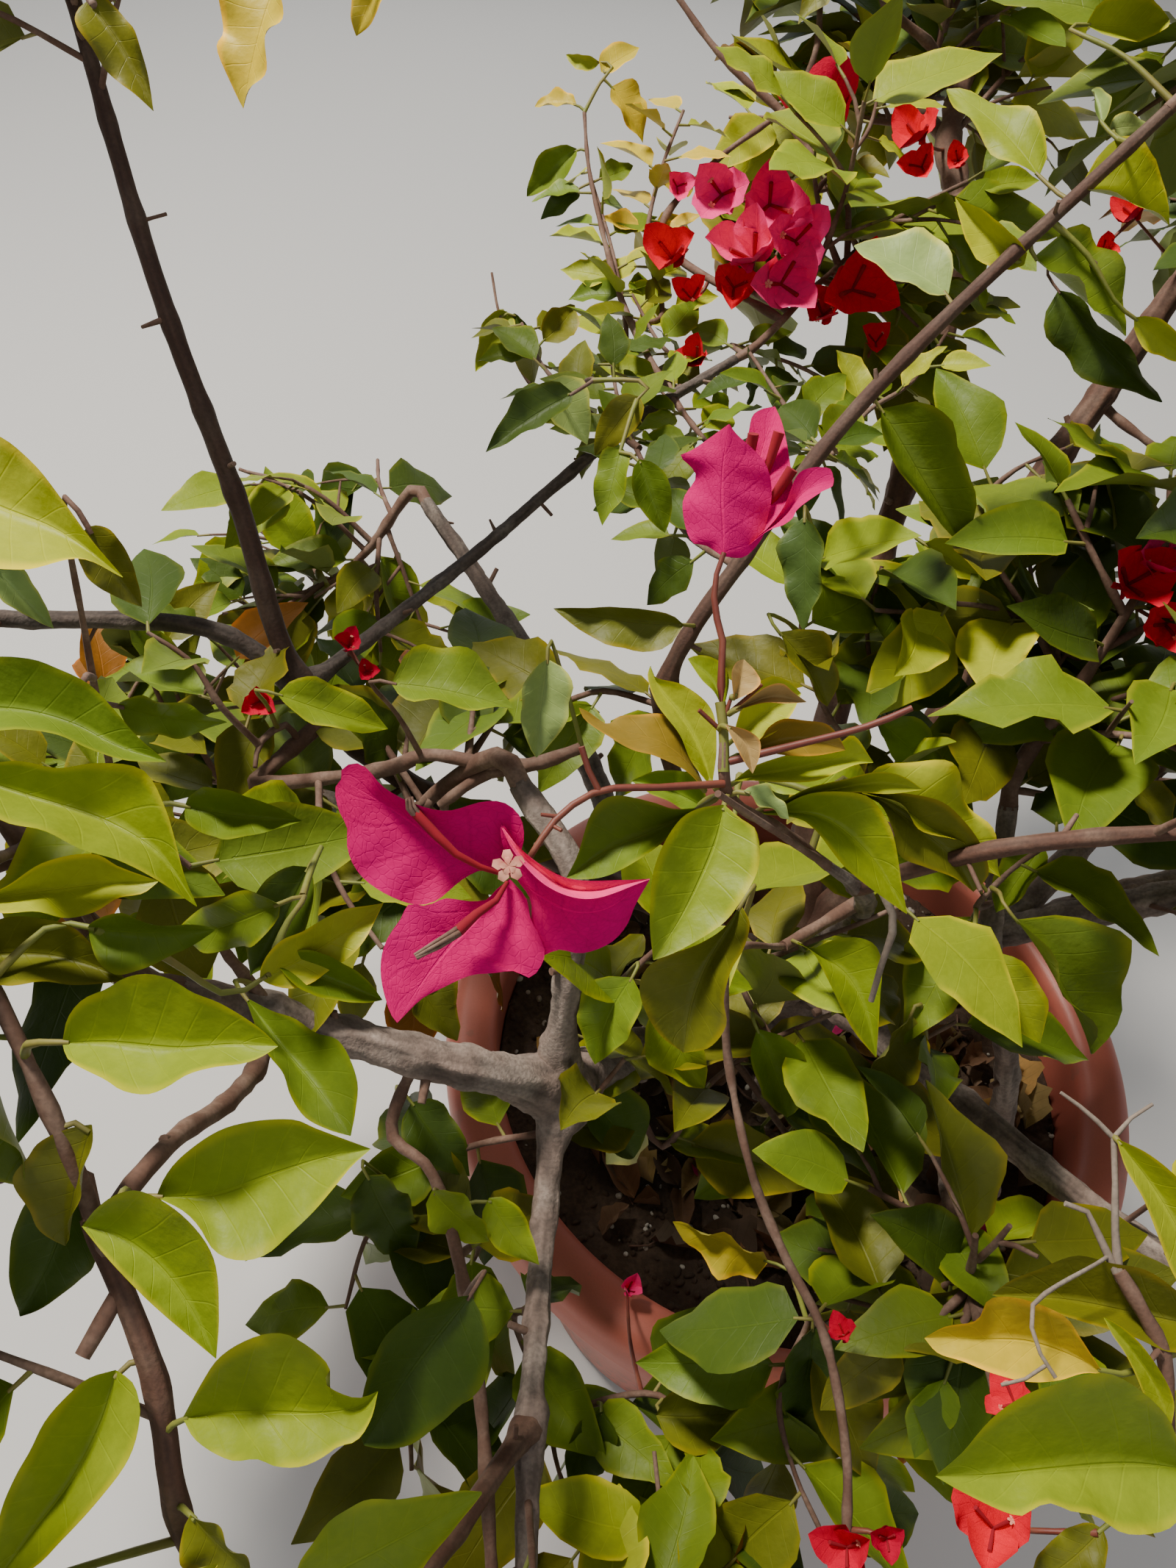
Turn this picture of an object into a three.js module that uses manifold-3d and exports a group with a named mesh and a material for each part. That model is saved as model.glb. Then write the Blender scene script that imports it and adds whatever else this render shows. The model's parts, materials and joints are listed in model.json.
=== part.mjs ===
// A bougainvillea bush in its planter: a broad-lipped tapered pot filled with soil, a clump of woody stems,
// the boughs that fork from them, and the masses of leafy shoots that the boughs carry.
// Millimetres, +Z up. The origin is the centre of the pot's flat underside, and -Y is the bush's front.

import * as THREE from "three";
import { mergeVertices } from "three/addons/utils/BufferGeometryUtils.js";
import Module from "manifold-3d";

const wasm = await Module();
wasm.setup();

// Driving sizes of the planter
const LIP_TOP = 300;
const LIP_RADIUS = 180;
const LIP_WIDTH = 27;
const LIP_DROP = 40;
const FOOT_RADIUS = 120;
const WALL = 6;
const FLOOR_THICKNESS = 8;
const SOIL_DEPTH_UNDER_LIP = 38;
const PLANTER_SIDES = 28;
const MOUTH_RADIUS = LIP_RADIUS - LIP_WIDTH;
const SOIL_TOP = LIP_TOP - SOIL_DEPTH_UNDER_LIP;
const LIP_FOOT = LIP_TOP - LIP_DROP;
const INNER_TOP_RADIUS = MOUTH_RADIUS - 1;
const INNER_FLOOR_RADIUS = FOOT_RADIUS - WALL + 2;

// Pieces that touch keep this gap
const GAP = 0.3;

// Driving sizes of the limbs
const LIMB_SIDES = 6;
const TRUNK_SIDES = 10;
const LIMB_STEP = 60;
const FLARE_REACH = 0.14;
const TRUNK_FLARE = 0.55;
const FOOT_SUNK = 12;

// Driving sizes of the shoots
const STEM_RADIUS = 2.6;
const TWIG_RADIUS = 1.9;
const TWIG_TIP_RADIUS = 1.1;
const TWIG_SIDES = 3;
const TWIG_STEPS = 1;
const STEM_STEPS = 6;
const STEM_LEAD = 12;
const STEM_BEYOND = 80;
const STEM_FILL = 0.8;
const SHOOTS = 8;
const FIRST_SHOOT = 0.22;
const LAST_SHOOT = 0.94;
const GOLDEN_ANGLE = Math.PI * (3 - Math.sqrt(5));
const SHOOT_SWAY = 0.35;
const SHOOT_LEAN = 0.35;
const SHOOT_LEAN_GAIN = 0.5;
const SHOOT_RISE = 0.15;
const SHOOT_SAMPLES = 10;
const SHORTEST_SHOOT = 11;
const LONGEST_SHOOT = 190;

// Driving sizes of the leaves and bracts. A leaf is larger than life, so that fewer of them fill the crown.
const LEAF_LENGTH = 92;
const LEAF_WIDTH_SHARE = 0.6;
const LEAF_WIDEST = 0.45;
const LEAF_THICKNESS = 1.8;
const LEAF_FOLD = 0.1;
const LEAF_SINK = 0.2;
const LEAF_SPACING = 22;
const LEAVES_ON_SHOOT = 3;
const LEAF_FORWARD = 0.55;
const LEAF_OUTWARD = 0.85;
const LEAF_DROOP = -0.32;
const LEAF_ROLL = 0.5;
const LEAF_SIZES = [1, 0.8, 0.62];
const TIP_LEAF_SHARE = 0.62;
const FIRST_LEAF_ON_STEM = 0.45;
const FIRST_LEAF_ON_SHOOT = 0.3;
const LAST_LEAF_SHARE = 0.985;
const SAMPLE_SHARES = [0.25, 0.5, 0.75, 1];
const BRACT_LENGTH = 46;
const BRACT_WIDTH_SHARE = 0.82;
const BRACTS_IN_BLOOM = 3;
const TIP_BLOOM_OPEN = 0.88;

// Room that a leaf or twig keeps from the limbs, the planter, other blades and the next mass
const LIMB_ROOM = 6;
const PLANTER_ROOM = 10;
const BLADE_ROOM = 13;
const MASS_ROOM = 0.6;
const OWN_TIP_ROOM = 11;
const BALL_SPACING = 8;
const ROOM_STEP = 6;

// Edges shorter than this are smoothed away when pieces have been joined
const FINEST_EDGE = 0.01;

const UP = new THREE.Vector3(0, 0, 1);
const at = (x, y, z) => new THREE.Vector3(x, y, z);

// Places where the limbs fork or turn
const TRUNK_FORK = at(-8, 6, 352);
const KNOT = at(-119, -116, 452);
const KNUCKLE = at(-213, -128, 508);
const FRONT_FORK = at(-116, -225, 446);
const CENTRE_FORK = at(-40, -106, 580);
const LEFT_FORK = at(-90, 6, 402);
const CANE_ELBOW = at(-232, 4, 520);
const RIGHT_FORK = at(74, 2, 410);
const FRONT_RIGHT_FORK = at(40, -70, 400);

// The two blooms on stalks of their own in the front spray, and the way that each one faces
const FACING_BLOOM = { place: at(-132, -158, 644), axis: at(0.05, -0.6, 0.8), open: 2.2 };
const UPRIGHT_BLOOM = { place: at(-94, -100, 680), axis: at(0, 0.25, 0.97), open: 0.5 };

// Finishes: colour, roughness and metalness
const finish = (color, roughness) => new THREE.MeshStandardMaterial({ color, roughness, metalness: 0 });
const TERRACOTTA = finish(0xc4604e, 0.55);
const SOIL = finish(0x4a3626, 1.0);
const OLD_BARK = finish(0x7d7468, 0.95);
const CANE_BARK = finish(0x5a3d33, 0.85);
const LEAF_GREEN = finish(0x7f9a2e, 0.5);
const BRACT_PINK = finish(0xd1136f, 0.6);

// A mass with more blooms than this shows as pink
const MANY_BLOOMS = 2;

// Seeded dice: a whole-number rule that gives the same draws on every machine
function dice(seed) {
  let state = seed;
  return (low, high) => {
    state = (state * 48271) % 2147483647;
    return low + (high - low) * (state / 2147483647);
  };
}

// A closed geometry as a solid that can be joined and cut
function solidOf(geometry) {
  geometry.deleteAttribute("normal");
  geometry.deleteAttribute("uv");
  const merged = mergeVertices(geometry, 1e-4);
  const mesh = new wasm.Mesh({
    numProp: 3,
    vertProperties: new Float32Array(merged.attributes.position.array),
    triVerts: new Uint32Array(merged.index.array),
  });
  return new wasm.Manifold(mesh);
}

// The largest closed shell of a solid, so that loose scraps and sealed hollows go
function mainBody(solid) {
  const bodies = solid.decompose();
  return bodies.reduce((best, body) => (body.volume() > best.volume() ? body : best));
}

function geometryOf(solid) {
  const mesh = solid.getMesh();
  const geometry = new THREE.BufferGeometry();
  geometry.setAttribute("position", new THREE.BufferAttribute(new Float32Array(mesh.vertProperties), 3));
  geometry.setIndex(new THREE.BufferAttribute(new Uint32Array(mesh.triVerts), 1));
  geometry.computeVertexNormals();
  return geometry;
}

// A tapering rod bent along a smooth path. The radius is a function of the share of the way along.
function taperedRod(points, radiusAt, sides, steps) {
  const path = new THREE.CatmullRomCurve3(points, false, "centripetal");
  const rod = new THREE.CylinderGeometry(1, 1, 1, sides, steps);
  const frames = path.computeFrenetFrames(steps, false);
  const position = rod.attributes.position;
  for (let i = 0; i < position.count; i += 1) {
    const share = position.getY(i) + 0.5;
    const ring = Math.round(share * steps);
    const radius = radiusAt(share);
    const place = path.getPointAt(share);
    place.addScaledVector(frames.normals[ring], position.getX(i) * radius);
    place.addScaledVector(frames.binormals[ring], -position.getZ(i) * radius);
    position.setXYZ(i, place.x, place.y, place.z);
  }
  return rod;
}

// Radius of a limb by the share of the way along it: an even taper, and one with a flared root
const taper = (foot, tip) => (share) => foot + (tip - foot) * share;
const flared = (foot, tip) => (share) => {
  const flare = 1 + TRUNK_FLARE * Math.exp(-share / FLARE_REACH);
  return taper(foot, tip)(share) * flare;
};

// Limbs: each is a path from its foot to its tip.
// A limb that forks off another starts on that one's path.
const LIMBS = [];
function limb(name, bark, radius, points) {
  const path = new THREE.CatmullRomCurve3(points, false, "centripetal");
  const steps = Math.max(3, Math.round(path.getLength() / LIMB_STEP));
  LIMBS.push({ name, bark, radius, points, path, steps });
}

// Stems that stand in the soil
limb("main_trunk", OLD_BARK, flared(17, 15), [
  at(12, -14, SOIL_TOP - FOOT_SUNK),
  at(5, -6, 300),
  TRUNK_FORK,
]);
limb("right_stem", OLD_BARK, flared(6.5, 3.6), [
  at(99, -73, SOIL_TOP - FOOT_SUNK),
  at(93, -66, 310),
  at(78, -55, 385),
  at(46, -40, 466),
  at(42, -10, 512),
]);

// The front bough runs out to a knot, where three others fork
limb("knot_bough", OLD_BARK, taper(11, 8.6), [TRUNK_FORK, at(-48, -44, 398), at(-90, -88, 428), KNOT]);
limb("left_bough", OLD_BARK, taper(7.6, 5), [
  KNOT,
  at(-138, -124, 474),
  at(-168, -127, 488),
  KNUCKLE,
  at(-236, -136, 532),
]);
limb("front_bough", OLD_BARK, taper(4.6, 3.4), [KNOT, at(-118, -165, 436), FRONT_FORK, at(-112, -272, 438)]);
limb("inner_bough", OLD_BARK, taper(5.4, 4), [
  KNOT,
  at(-119, -98, 500),
  at(-120, -78, 530),
  at(-142, -50, 542),
]);

// Boughs and canes from the trunk's fork
limb("centre_bough", OLD_BARK, taper(8, 3.4), [
  TRUNK_FORK,
  at(-6, -20, 430),
  at(-20, -70, 520),
  CENTRE_FORK,
  at(-54, -118, 604),
]);
limb("left_cane", CANE_BARK, taper(7, 2.5), [
  TRUNK_FORK,
  LEFT_FORK,
  at(-196, -4, 484),
  CANE_ELBOW,
  at(-257, 38, 580),
  at(-282, 68, 643),
  at(-311, 118, 712),
]);
limb("crossing_cane", OLD_BARK, taper(2.9, 2.2), [
  CANE_ELBOW,
  at(-178, 77, 532),
  at(-116, 152, 556),
  at(-72, 196, 566),
]);
limb("left_branch", OLD_BARK, taper(3.7, 2.7), [
  CANE_ELBOW,
  at(-262, 9, 541),
  at(-334, -8, 553),
  at(-372, -18, 560),
]);
limb("rising_cane", CANE_BARK, taper(4.8, 2), [
  TRUNK_FORK,
  at(-62, -4, 452),
  at(-96, -16, 560),
  at(-74, 8, 606),
  at(-42, 41, 646),
  at(38, 99, 720),
]);
limb("back_right_bough", CANE_BARK, taper(10, 5.4), [
  TRUNK_FORK,
  at(40, 74, 420),
  at(69, 161, 512),
  at(117, 231, 571),
  at(138, 262, 592),
]);
limb("back_bough", CANE_BARK, taper(9.5, 5), [
  TRUNK_FORK,
  at(0, 110, 420),
  at(30, 230, 500),
  at(44, 296, 546),
  at(42, 348, 592),
]);
limb("right_bough", OLD_BARK, taper(9, 4.6), [TRUNK_FORK, RIGHT_FORK, at(160, 4, 462), at(236, -6, 520)]);
limb("front_right_bough", OLD_BARK, taper(7.5, 4), [
  TRUNK_FORK,
  FRONT_RIGHT_FORK,
  at(92, -142, 436),
  at(138, -190, 470),
]);

// Side boughs and canes
limb("right_cane", CANE_BARK, taper(2.4, 1.9), [
  CENTRE_FORK,
  at(-12, -116, 616),
  at(27, -117, 631),
  at(82, -124, 652),
]);
limb("left_front_cane", CANE_BARK, taper(3.1, 2.4), [
  FRONT_FORK,
  at(-150, -280, 500),
  at(-184, -277, 549),
  at(-197, -248, 580),
  at(-214, -224, 595),
]);
limb("back_left_bough", OLD_BARK, taper(6, 4), [
  LEFT_FORK,
  at(-130, 100, 410),
  at(-190, 190, 424),
  at(-226, 232, 440),
]);
limb("right_back_bough", OLD_BARK, taper(6, 4), [
  RIGHT_FORK,
  at(140, 70, 450),
  at(206, 128, 512),
  at(236, 152, 544),
]);
limb("low_front_bough", OLD_BARK, taper(4.6, 3.4), [
  FRONT_RIGHT_FORK,
  at(36, -104, 412),
  at(30, -132, 430),
]);
limb("left_low_bough", OLD_BARK, taper(4.8, 3.4), [
  LEFT_FORK,
  at(-160, 36, 396),
  at(-216, 46, 392),
  at(-248, 50, 396),
]);
limb("right_low_bough", OLD_BARK, taper(5.4, 3.6), [
  RIGHT_FORK,
  at(140, 34, 410),
  at(196, 54, 412),
  at(226, 62, 416),
]);

const limbNamed = (name) => LIMBS.find((one) => one.name === name);

// A limb's solid, grown on all sides by some room where it is wanted as a cutter
function limbSolid(one, room = 0) {
  const sides = one.name === "main_trunk" ? TRUNK_SIDES : LIMB_SIDES;
  const radiusAt = (share) => one.radius(share) + room;
  return solidOf(taperedRod(one.points, radiusAt, sides, one.steps));
}

// Balls along each limb: places and radii that leaves keep clear of
const LIMB_BALLS = LIMBS.flatMap((one) => {
  const count = Math.ceil(one.path.getLength() / BALL_SPACING);
  return Array.from({ length: count + 1 }, (_, i) => ({
    centre: one.path.getPointAt(i / count),
    radius: one.radius(i / count),
  }));
});

// Outline of a leaf or bract: foot, left edge, tip and right edge.
// The midrib lies lower than the edges.
function bladeOutline(foot, along, across, length, widthShare) {
  const lift = across.clone().cross(along).normalize();
  const place = (share, side, height) => {
    const point = foot.clone().addScaledVector(along, share * length);
    point.addScaledVector(across, (side * length * widthShare) / 2);
    return point.addScaledVector(lift, height * length);
  };
  return {
    lift,
    foot: place(0, 0, 0),
    left: place(LEAF_WIDEST, 1, LEAF_FOLD),
    right: place(LEAF_WIDEST, -1, LEAF_FOLD),
    tip: place(1, 0, 0),
    rib: place(LEAF_WIDEST, 0, 0),
  };
}

// A blade of eight faces, thickest at its middle
function bladeSolid(blade) {
  const over = blade.rib.clone().addScaledVector(blade.lift, LEAF_THICKNESS / 2);
  const under = blade.rib.clone().addScaledVector(blade.lift, -LEAF_THICKNESS / 2);
  const edge = [blade.foot, blade.left, blade.tip, blade.right];
  const faces = edge.flatMap((corner, i) => {
    const next = edge[(i + 1) % edge.length];
    return [corner, next, over, next, corner, under];
  });
  return solidOf(new THREE.BufferGeometry().setFromPoints(faces));
}

// Points spread over a blade, at which its place is tested
function bladeSamples(blade) {
  const corners = [blade.left, blade.right, blade.tip];
  const spokes = corners.flatMap((corner) =>
    SAMPLE_SHARES.map((share) => blade.rib.clone().lerp(corner, share)),
  );
  const sides = [blade.left, blade.right].map((corner) => corner.clone().lerp(blade.tip, 0.5));
  return spokes.concat(sides);
}

// Whether a point keeps clear of the planter and of the soil in it
function clearOfPlanter(point) {
  const radius = Math.hypot(point.x, point.y);
  if (radius > LIP_RADIUS + PLANTER_ROOM) return point.z > 0;
  if (radius > MOUTH_RADIUS - PLANTER_ROOM) return point.z > LIP_TOP + PLANTER_ROOM;
  return point.z > SOIL_TOP + PLANTER_ROOM;
}

// A mass of leafy shoots. It grows from the tip of its bough and fills a space round its heart: an ellipsoid
// that stops half way to the next mass's heart. A stem runs from the bough's tip through the heart to the far
// side. Shoots leave it in turn, each a golden angle further round, and end near the edge of the space.
// Leaves stand on alternate sides of every shoot, and blooms of three bracts on the tips that stand highest.
class LeafyMass {
  constructor(name, boughName, heart, reach, seed, blooms, stalkBlooms = []) {
    this.name = name;
    this.bough = limbNamed(boughName);
    this.heart = heart;
    this.reach = reach;
    this.seed = seed;
    this.blooms = blooms;
    this.stalkBlooms = stalkBlooms;
    this.leafRoll = dice(seed + 1);
    this.solids = [];
    this.taken = [];
    this.boughWay = this.bough.path.getTangentAt(1);
    this.start = this.bough.path.getPointAt(1).addScaledVector(this.boughWay, GAP);
    const nearby = Math.max(...reach) + LEAF_LENGTH;
    this.balls = LIMB_BALLS.filter((ball) => ball.centre.distanceTo(heart) < nearby);
    this.otherBalls = this.balls.filter((ball) => ball.centre.distanceTo(this.start) > OWN_TIP_ROOM);
  }

  inSpace(point) {
    const from = point.clone().sub(this.heart);
    const [a, b, c] = this.reach;
    if ((from.x / a) ** 2 + (from.y / b) ** 2 + (from.z / c) ** 2 > 1) return false;
    return MASSES.every((other) => {
      const across = other.heart.clone().sub(this.heart);
      const half = across.length() / 2;
      return other === this || from.dot(across.normalize()) < half - MASS_ROOM;
    });
  }

  fits(points, balls) {
    return points.every((point) => {
      const clear = balls.every((ball) => ball.centre.distanceTo(point) > ball.radius + LIMB_ROOM);
      return clear && clearOfPlanter(point) && this.inSpace(point);
    });
  }

  // How far a straight way from a place stays in the space
  roomAhead(from, along, most) {
    let far = 0;
    while (far < most && this.inSpace(from.clone().addScaledVector(along, far + ROOM_STEP))) far += ROOM_STEP;
    return far;
  }

  addTwig(points, radiusAt, steps) {
    this.solids.push(solidOf(taperedRod(points, radiusAt, TWIG_SIDES, steps)));
  }

  // A blade is skipped where it would touch another, a limb or the planter, or leave the space
  addBlade(foot, along, across, length, widthShare, keepsOthersAway) {
    const sunk = foot.clone().addScaledVector(along, -LEAF_SINK);
    const blade = bladeOutline(sunk, along, across, length, widthShare);
    const samples = bladeSamples(blade);
    const isNear = (other) => samples.some((sample) => sample.distanceTo(other) < BLADE_ROOM);
    const crowded = this.taken.some(isNear);
    if (crowded || !this.fits(samples, this.balls)) return false;
    if (keepsOthersAway) this.taken.push(...samples);
    this.solids.push(bladeSolid(blade));
    return true;
  }

  // A bloom of bracts round an axis. The wider it opens, the flatter its bracts lie.
  addBloom(place, axis, open) {
    const across = axis.clone().cross(UP).normalize();
    for (let i = 0; i < BRACTS_IN_BLOOM; i += 1) {
      const spoke = across.clone().applyAxisAngle(axis, (i * 2 * Math.PI) / BRACTS_IN_BLOOM);
      const along = axis.clone().addScaledVector(spoke, open).normalize();
      const side = along.clone().cross(axis).normalize();
      this.addBlade(place, along, side, BRACT_LENGTH, BRACT_WIDTH_SHARE, false);
    }
  }

  // The way a leaf points from its shoot: the last one on along it, the others out to its two sides
  leafWay(shootWay, side) {
    if (side === 0) return shootWay.clone().addScaledVector(UP, LEAF_DROOP).normalize();
    const across = shootWay.clone().cross(UP).normalize();
    const way = shootWay.clone().multiplyScalar(LEAF_FORWARD);
    return way.addScaledVector(across, side * LEAF_OUTWARD).addScaledVector(UP, LEAF_DROOP).normalize();
  }

  // Leaves along a shoot from a share of its length to its tip
  dress(path, from) {
    const bare = path.getLength() * (1 - from);
    const count = THREE.MathUtils.clamp(Math.floor(bare / LEAF_SPACING), 1, LEAVES_ON_SHOOT);
    for (let i = 0; i <= count; i += 1) {
      const share = Math.min(from + (1 - from) * (i / count), LAST_LEAF_SHARE);
      const side = i === count ? 0 : 1 - 2 * (i % 2);
      const way = this.leafWay(path.getTangentAt(share), side);
      const size = LEAF_LENGTH * this.leafRoll(0.78, 1.08);
      const across = way.clone().cross(UP).normalize();
      across.applyAxisAngle(way, this.leafRoll(-LEAF_ROLL, LEAF_ROLL));
      const foot = path.getPointAt(share);
      LEAF_SIZES.some((shrink) => this.addBlade(foot, way, across, size * shrink, LEAF_WIDTH_SHARE, true));
    }
  }

  // The stem's path: on from the bough's tip, through the heart and most of the way to the far side
  stemPoints() {
    const onward = this.heart.clone().sub(this.start).normalize();
    const beyond = this.roomAhead(this.heart, onward, STEM_BEYOND) * STEM_FILL;
    const firstStep = this.start.clone().addScaledVector(this.boughWay, STEM_LEAD);
    return [this.start, firstStep, this.heart, this.heart.clone().addScaledVector(onward, beyond)];
  }

  // The shoots' straight paths, by the seeded rule
  shootPaths(stem) {
    const roll = dice(this.seed);
    const onward = this.heart.clone().sub(this.start).normalize();
    const sideways = onward.clone().cross(UP).normalize();
    const shoots = [];
    for (let k = 0; k < SHOOTS; k += 1) {
      const share = k / (SHOOTS - 1);
      const foot = stem.getPointAt(FIRST_SHOOT + (LAST_SHOOT - FIRST_SHOOT) * share);
      const turn = k * GOLDEN_ANGLE + roll(-SHOOT_SWAY, SHOOT_SWAY);
      const way = sideways.clone().applyAxisAngle(onward, turn);
      way.addScaledVector(onward, SHOOT_LEAN + SHOOT_LEAN_GAIN * share);
      way.addScaledVector(UP, SHOOT_RISE).normalize();
      const room = this.roomAhead(foot, way, LONGEST_SHOOT);
      const length = room * roll(0.88, 0.98) - LEAF_LENGTH * TIP_LEAF_SHARE;
      const shoot = new THREE.LineCurve3(foot, foot.clone().addScaledVector(way, length));
      const samples = shoot.getSpacedPoints(SHOOT_SAMPLES).slice(1);
      if (length > SHORTEST_SHOOT && this.fits(samples, this.otherBalls)) shoots.push(shoot);
    }
    return shoots;
  }

  grow() {
    const points = this.stemPoints();
    const stem = new THREE.CatmullRomCurve3(points, false, "centripetal");
    this.addTwig(points, taper(STEM_RADIUS, TWIG_RADIUS), STEM_STEPS);
    for (const bloom of this.stalkBlooms) {
      this.addTwig([this.heart, bloom.place], taper(TWIG_RADIUS, TWIG_TIP_RADIUS), TWIG_STEPS);
      this.addBloom(bloom.place, bloom.axis.clone().normalize(), bloom.open);
    }
    this.dress(stem, FIRST_LEAF_ON_STEM);
    const shoots = this.shootPaths(stem);
    for (const shoot of shoots) {
      this.addTwig([shoot.v1, shoot.v2], taper(TWIG_RADIUS, TWIG_TIP_RADIUS), TWIG_STEPS);
      this.dress(shoot, FIRST_LEAF_ON_SHOOT);
    }
    shoots.sort((one, two) => two.v2.z - one.v2.z);
    for (const shoot of shoots.slice(0, this.blooms)) {
      this.addBloom(shoot.v2, shoot.getTangentAt(1), TIP_BLOOM_OPEN);
    }
    return mainBody(wasm.Manifold.union(this.solids).simplify(FINEST_EDGE));
  }
}

// Name, bough, heart, reach along each axis, seed and number of blooms on the tips
const MASSES = [
  new LeafyMass("front_spray_leaves", "centre_bough", at(-64, -128, 622), [152, 104, 108], 11, 1, [
    FACING_BLOOM,
    UPRIGHT_BLOOM,
  ]),
  new LeafyMass("left_front_leaves", "left_front_cane", at(-276, -240, 602), [124, 134, 122], 23, 1),
  new LeafyMass("left_near_leaves", "left_bough", at(-292, -108, 598), [112, 104, 124], 37, 1),
  new LeafyMass("left_leaves", "left_branch", at(-398, -36, 566), [92, 150, 150], 41, 2),
  new LeafyMass("front_low_leaves", "front_bough", at(-96, -286, 418), [150, 112, 112], 53, 1),
  new LeafyMass("left_inner_leaves", "inner_bough", at(-196, -26, 478), [112, 92, 92], 67, 0),
  new LeafyMass("left_top_leaves", "left_cane", at(-318, 150, 748), [126, 122, 108], 71, 2),
  new LeafyMass("back_centre_leaves", "crossing_cane", at(-36, 244, 580), [124, 134, 124], 83, 4),
  new LeafyMass("top_leaves", "rising_cane", at(82, 128, 736), [146, 140, 112], 97, 2),
  new LeafyMass("back_right_leaves", "back_right_bough", at(200, 306, 606), [150, 150, 140], 101, 3),
  new LeafyMass("back_leaves", "back_bough", at(20, 404, 610), [150, 118, 146], 113, 2),
  new LeafyMass("centre_right_leaves", "right_stem", at(58, 14, 568), [104, 110, 104], 127, 0),
  new LeafyMass("right_leaves", "right_bough", at(332, -30, 574), [140, 146, 140], 131, 2),
  new LeafyMass("front_right_leaves", "front_right_bough", at(168, -232, 486), [146, 134, 124], 149, 2),
  new LeafyMass("right_top_leaves", "right_cane", at(166, -116, 666), [140, 130, 106], 151, 2),
  new LeafyMass("back_left_leaves", "back_left_bough", at(-262, 226, 404), [140, 134, 92], 163, 1),
  new LeafyMass("right_back_leaves", "right_back_bough", at(316, 176, 604), [140, 126, 136], 173, 1),
  new LeafyMass("pot_front_leaves", "low_front_bough", at(26, -156, 446), [92, 84, 84], 181, 0),
  new LeafyMass("left_low_leaves", "left_low_bough", at(-300, 50, 400), [118, 112, 96], 191, 0),
  new LeafyMass("right_low_leaves", "right_low_bough", at(282, 74, 424), [130, 128, 100], 197, 1),
];

// Half profiles in radius and height, turned about the Z axis
function turned(profile) {
  const points = profile.map(([radius, height]) => new THREE.Vector2(radius, height));
  return new THREE.LatheGeometry(points, PLANTER_SIDES).rotateX(Math.PI / 2);
}

// The planter: from the underside up the tapered wall, round the broad lip and down the inside to the floor
function planterGeometry() {
  return turned([
    [0, 0],
    [FOOT_RADIUS, 0],
    [FOOT_RADIUS + 3, 4],
    [MOUTH_RADIUS + WALL, LIP_FOOT + 4],
    [LIP_RADIUS - 7, LIP_FOOT + 1],
    [LIP_RADIUS - 2, LIP_FOOT + 5],
    [LIP_RADIUS, LIP_TOP - 10],
    [LIP_RADIUS - 2.5, LIP_TOP - 3.5],
    [LIP_RADIUS - 8, LIP_TOP - 0.5],
    [LIP_RADIUS - 14, LIP_TOP],
    [MOUTH_RADIUS + 5, LIP_TOP - 1.5],
    [MOUTH_RADIUS, LIP_TOP - 7],
    [INNER_TOP_RADIUS, LIP_FOOT],
    [INNER_FLOOR_RADIUS, FLOOR_THICKNESS],
    [0, FLOOR_THICKNESS],
  ]);
}

// The soil fills the planter up to its own flat top
function soilGeometry() {
  const room = 2 * GAP;
  return turned([
    [0, FLOOR_THICKNESS + GAP],
    [INNER_FLOOR_RADIUS - room, FLOOR_THICKNESS + GAP],
    [INNER_TOP_RADIUS - room, LIP_FOOT],
    [INNER_TOP_RADIUS - room, SOIL_TOP],
    [0, SOIL_TOP],
  ]);
}

const bush = new THREE.Group();

function addPart(name, geometry, material) {
  const mesh = new THREE.Mesh(geometry, material);
  mesh.name = name;
  bush.add(mesh);
}

addPart("planter", planterGeometry(), TERRACOTTA);
addPart("soil", soilGeometry(), SOIL);

// Limbs: each is cut flat at the soil, and clear of the limbs before it
const BLOCK = LIP_RADIUS * 2;
const underSoil = new THREE.BoxGeometry(BLOCK, BLOCK, BLOCK).translate(0, 0, SOIL_TOP + GAP - BLOCK / 2);
const cutters = [solidOf(underSoil)];
for (const one of LIMBS) {
  const clear = cutters.reduce((solid, cutter) => solid.subtract(cutter), limbSolid(one));
  addPart(one.name, geometryOf(mainBody(clear.simplify(FINEST_EDGE))), one.bark);
  cutters.push(limbSolid(one, GAP));
}

// Masses: each is cut clear of all the limbs
for (const mass of MASSES) {
  const clear = cutters.reduce((solid, cutter) => solid.subtract(cutter), mass.grow());
  const colour = mass.blooms > MANY_BLOOMS ? BRACT_PINK : LEAF_GREEN;
  addPart(mass.name, geometryOf(mainBody(clear.simplify(FINEST_EDGE))), colour);
}

export default bush;
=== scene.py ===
"""Looks of a bougainvillea bush in its planter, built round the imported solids.

Shapes are worked out in millimetres and become metres when a mesh is made.
"""

import json
import logging
import math
from dataclasses import dataclass, field
from enum import Enum
from functools import cache
from typing import Iterable, Sequence

import bpy
import numpy as np
from mathutils import Matrix, Vector, noise

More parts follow.
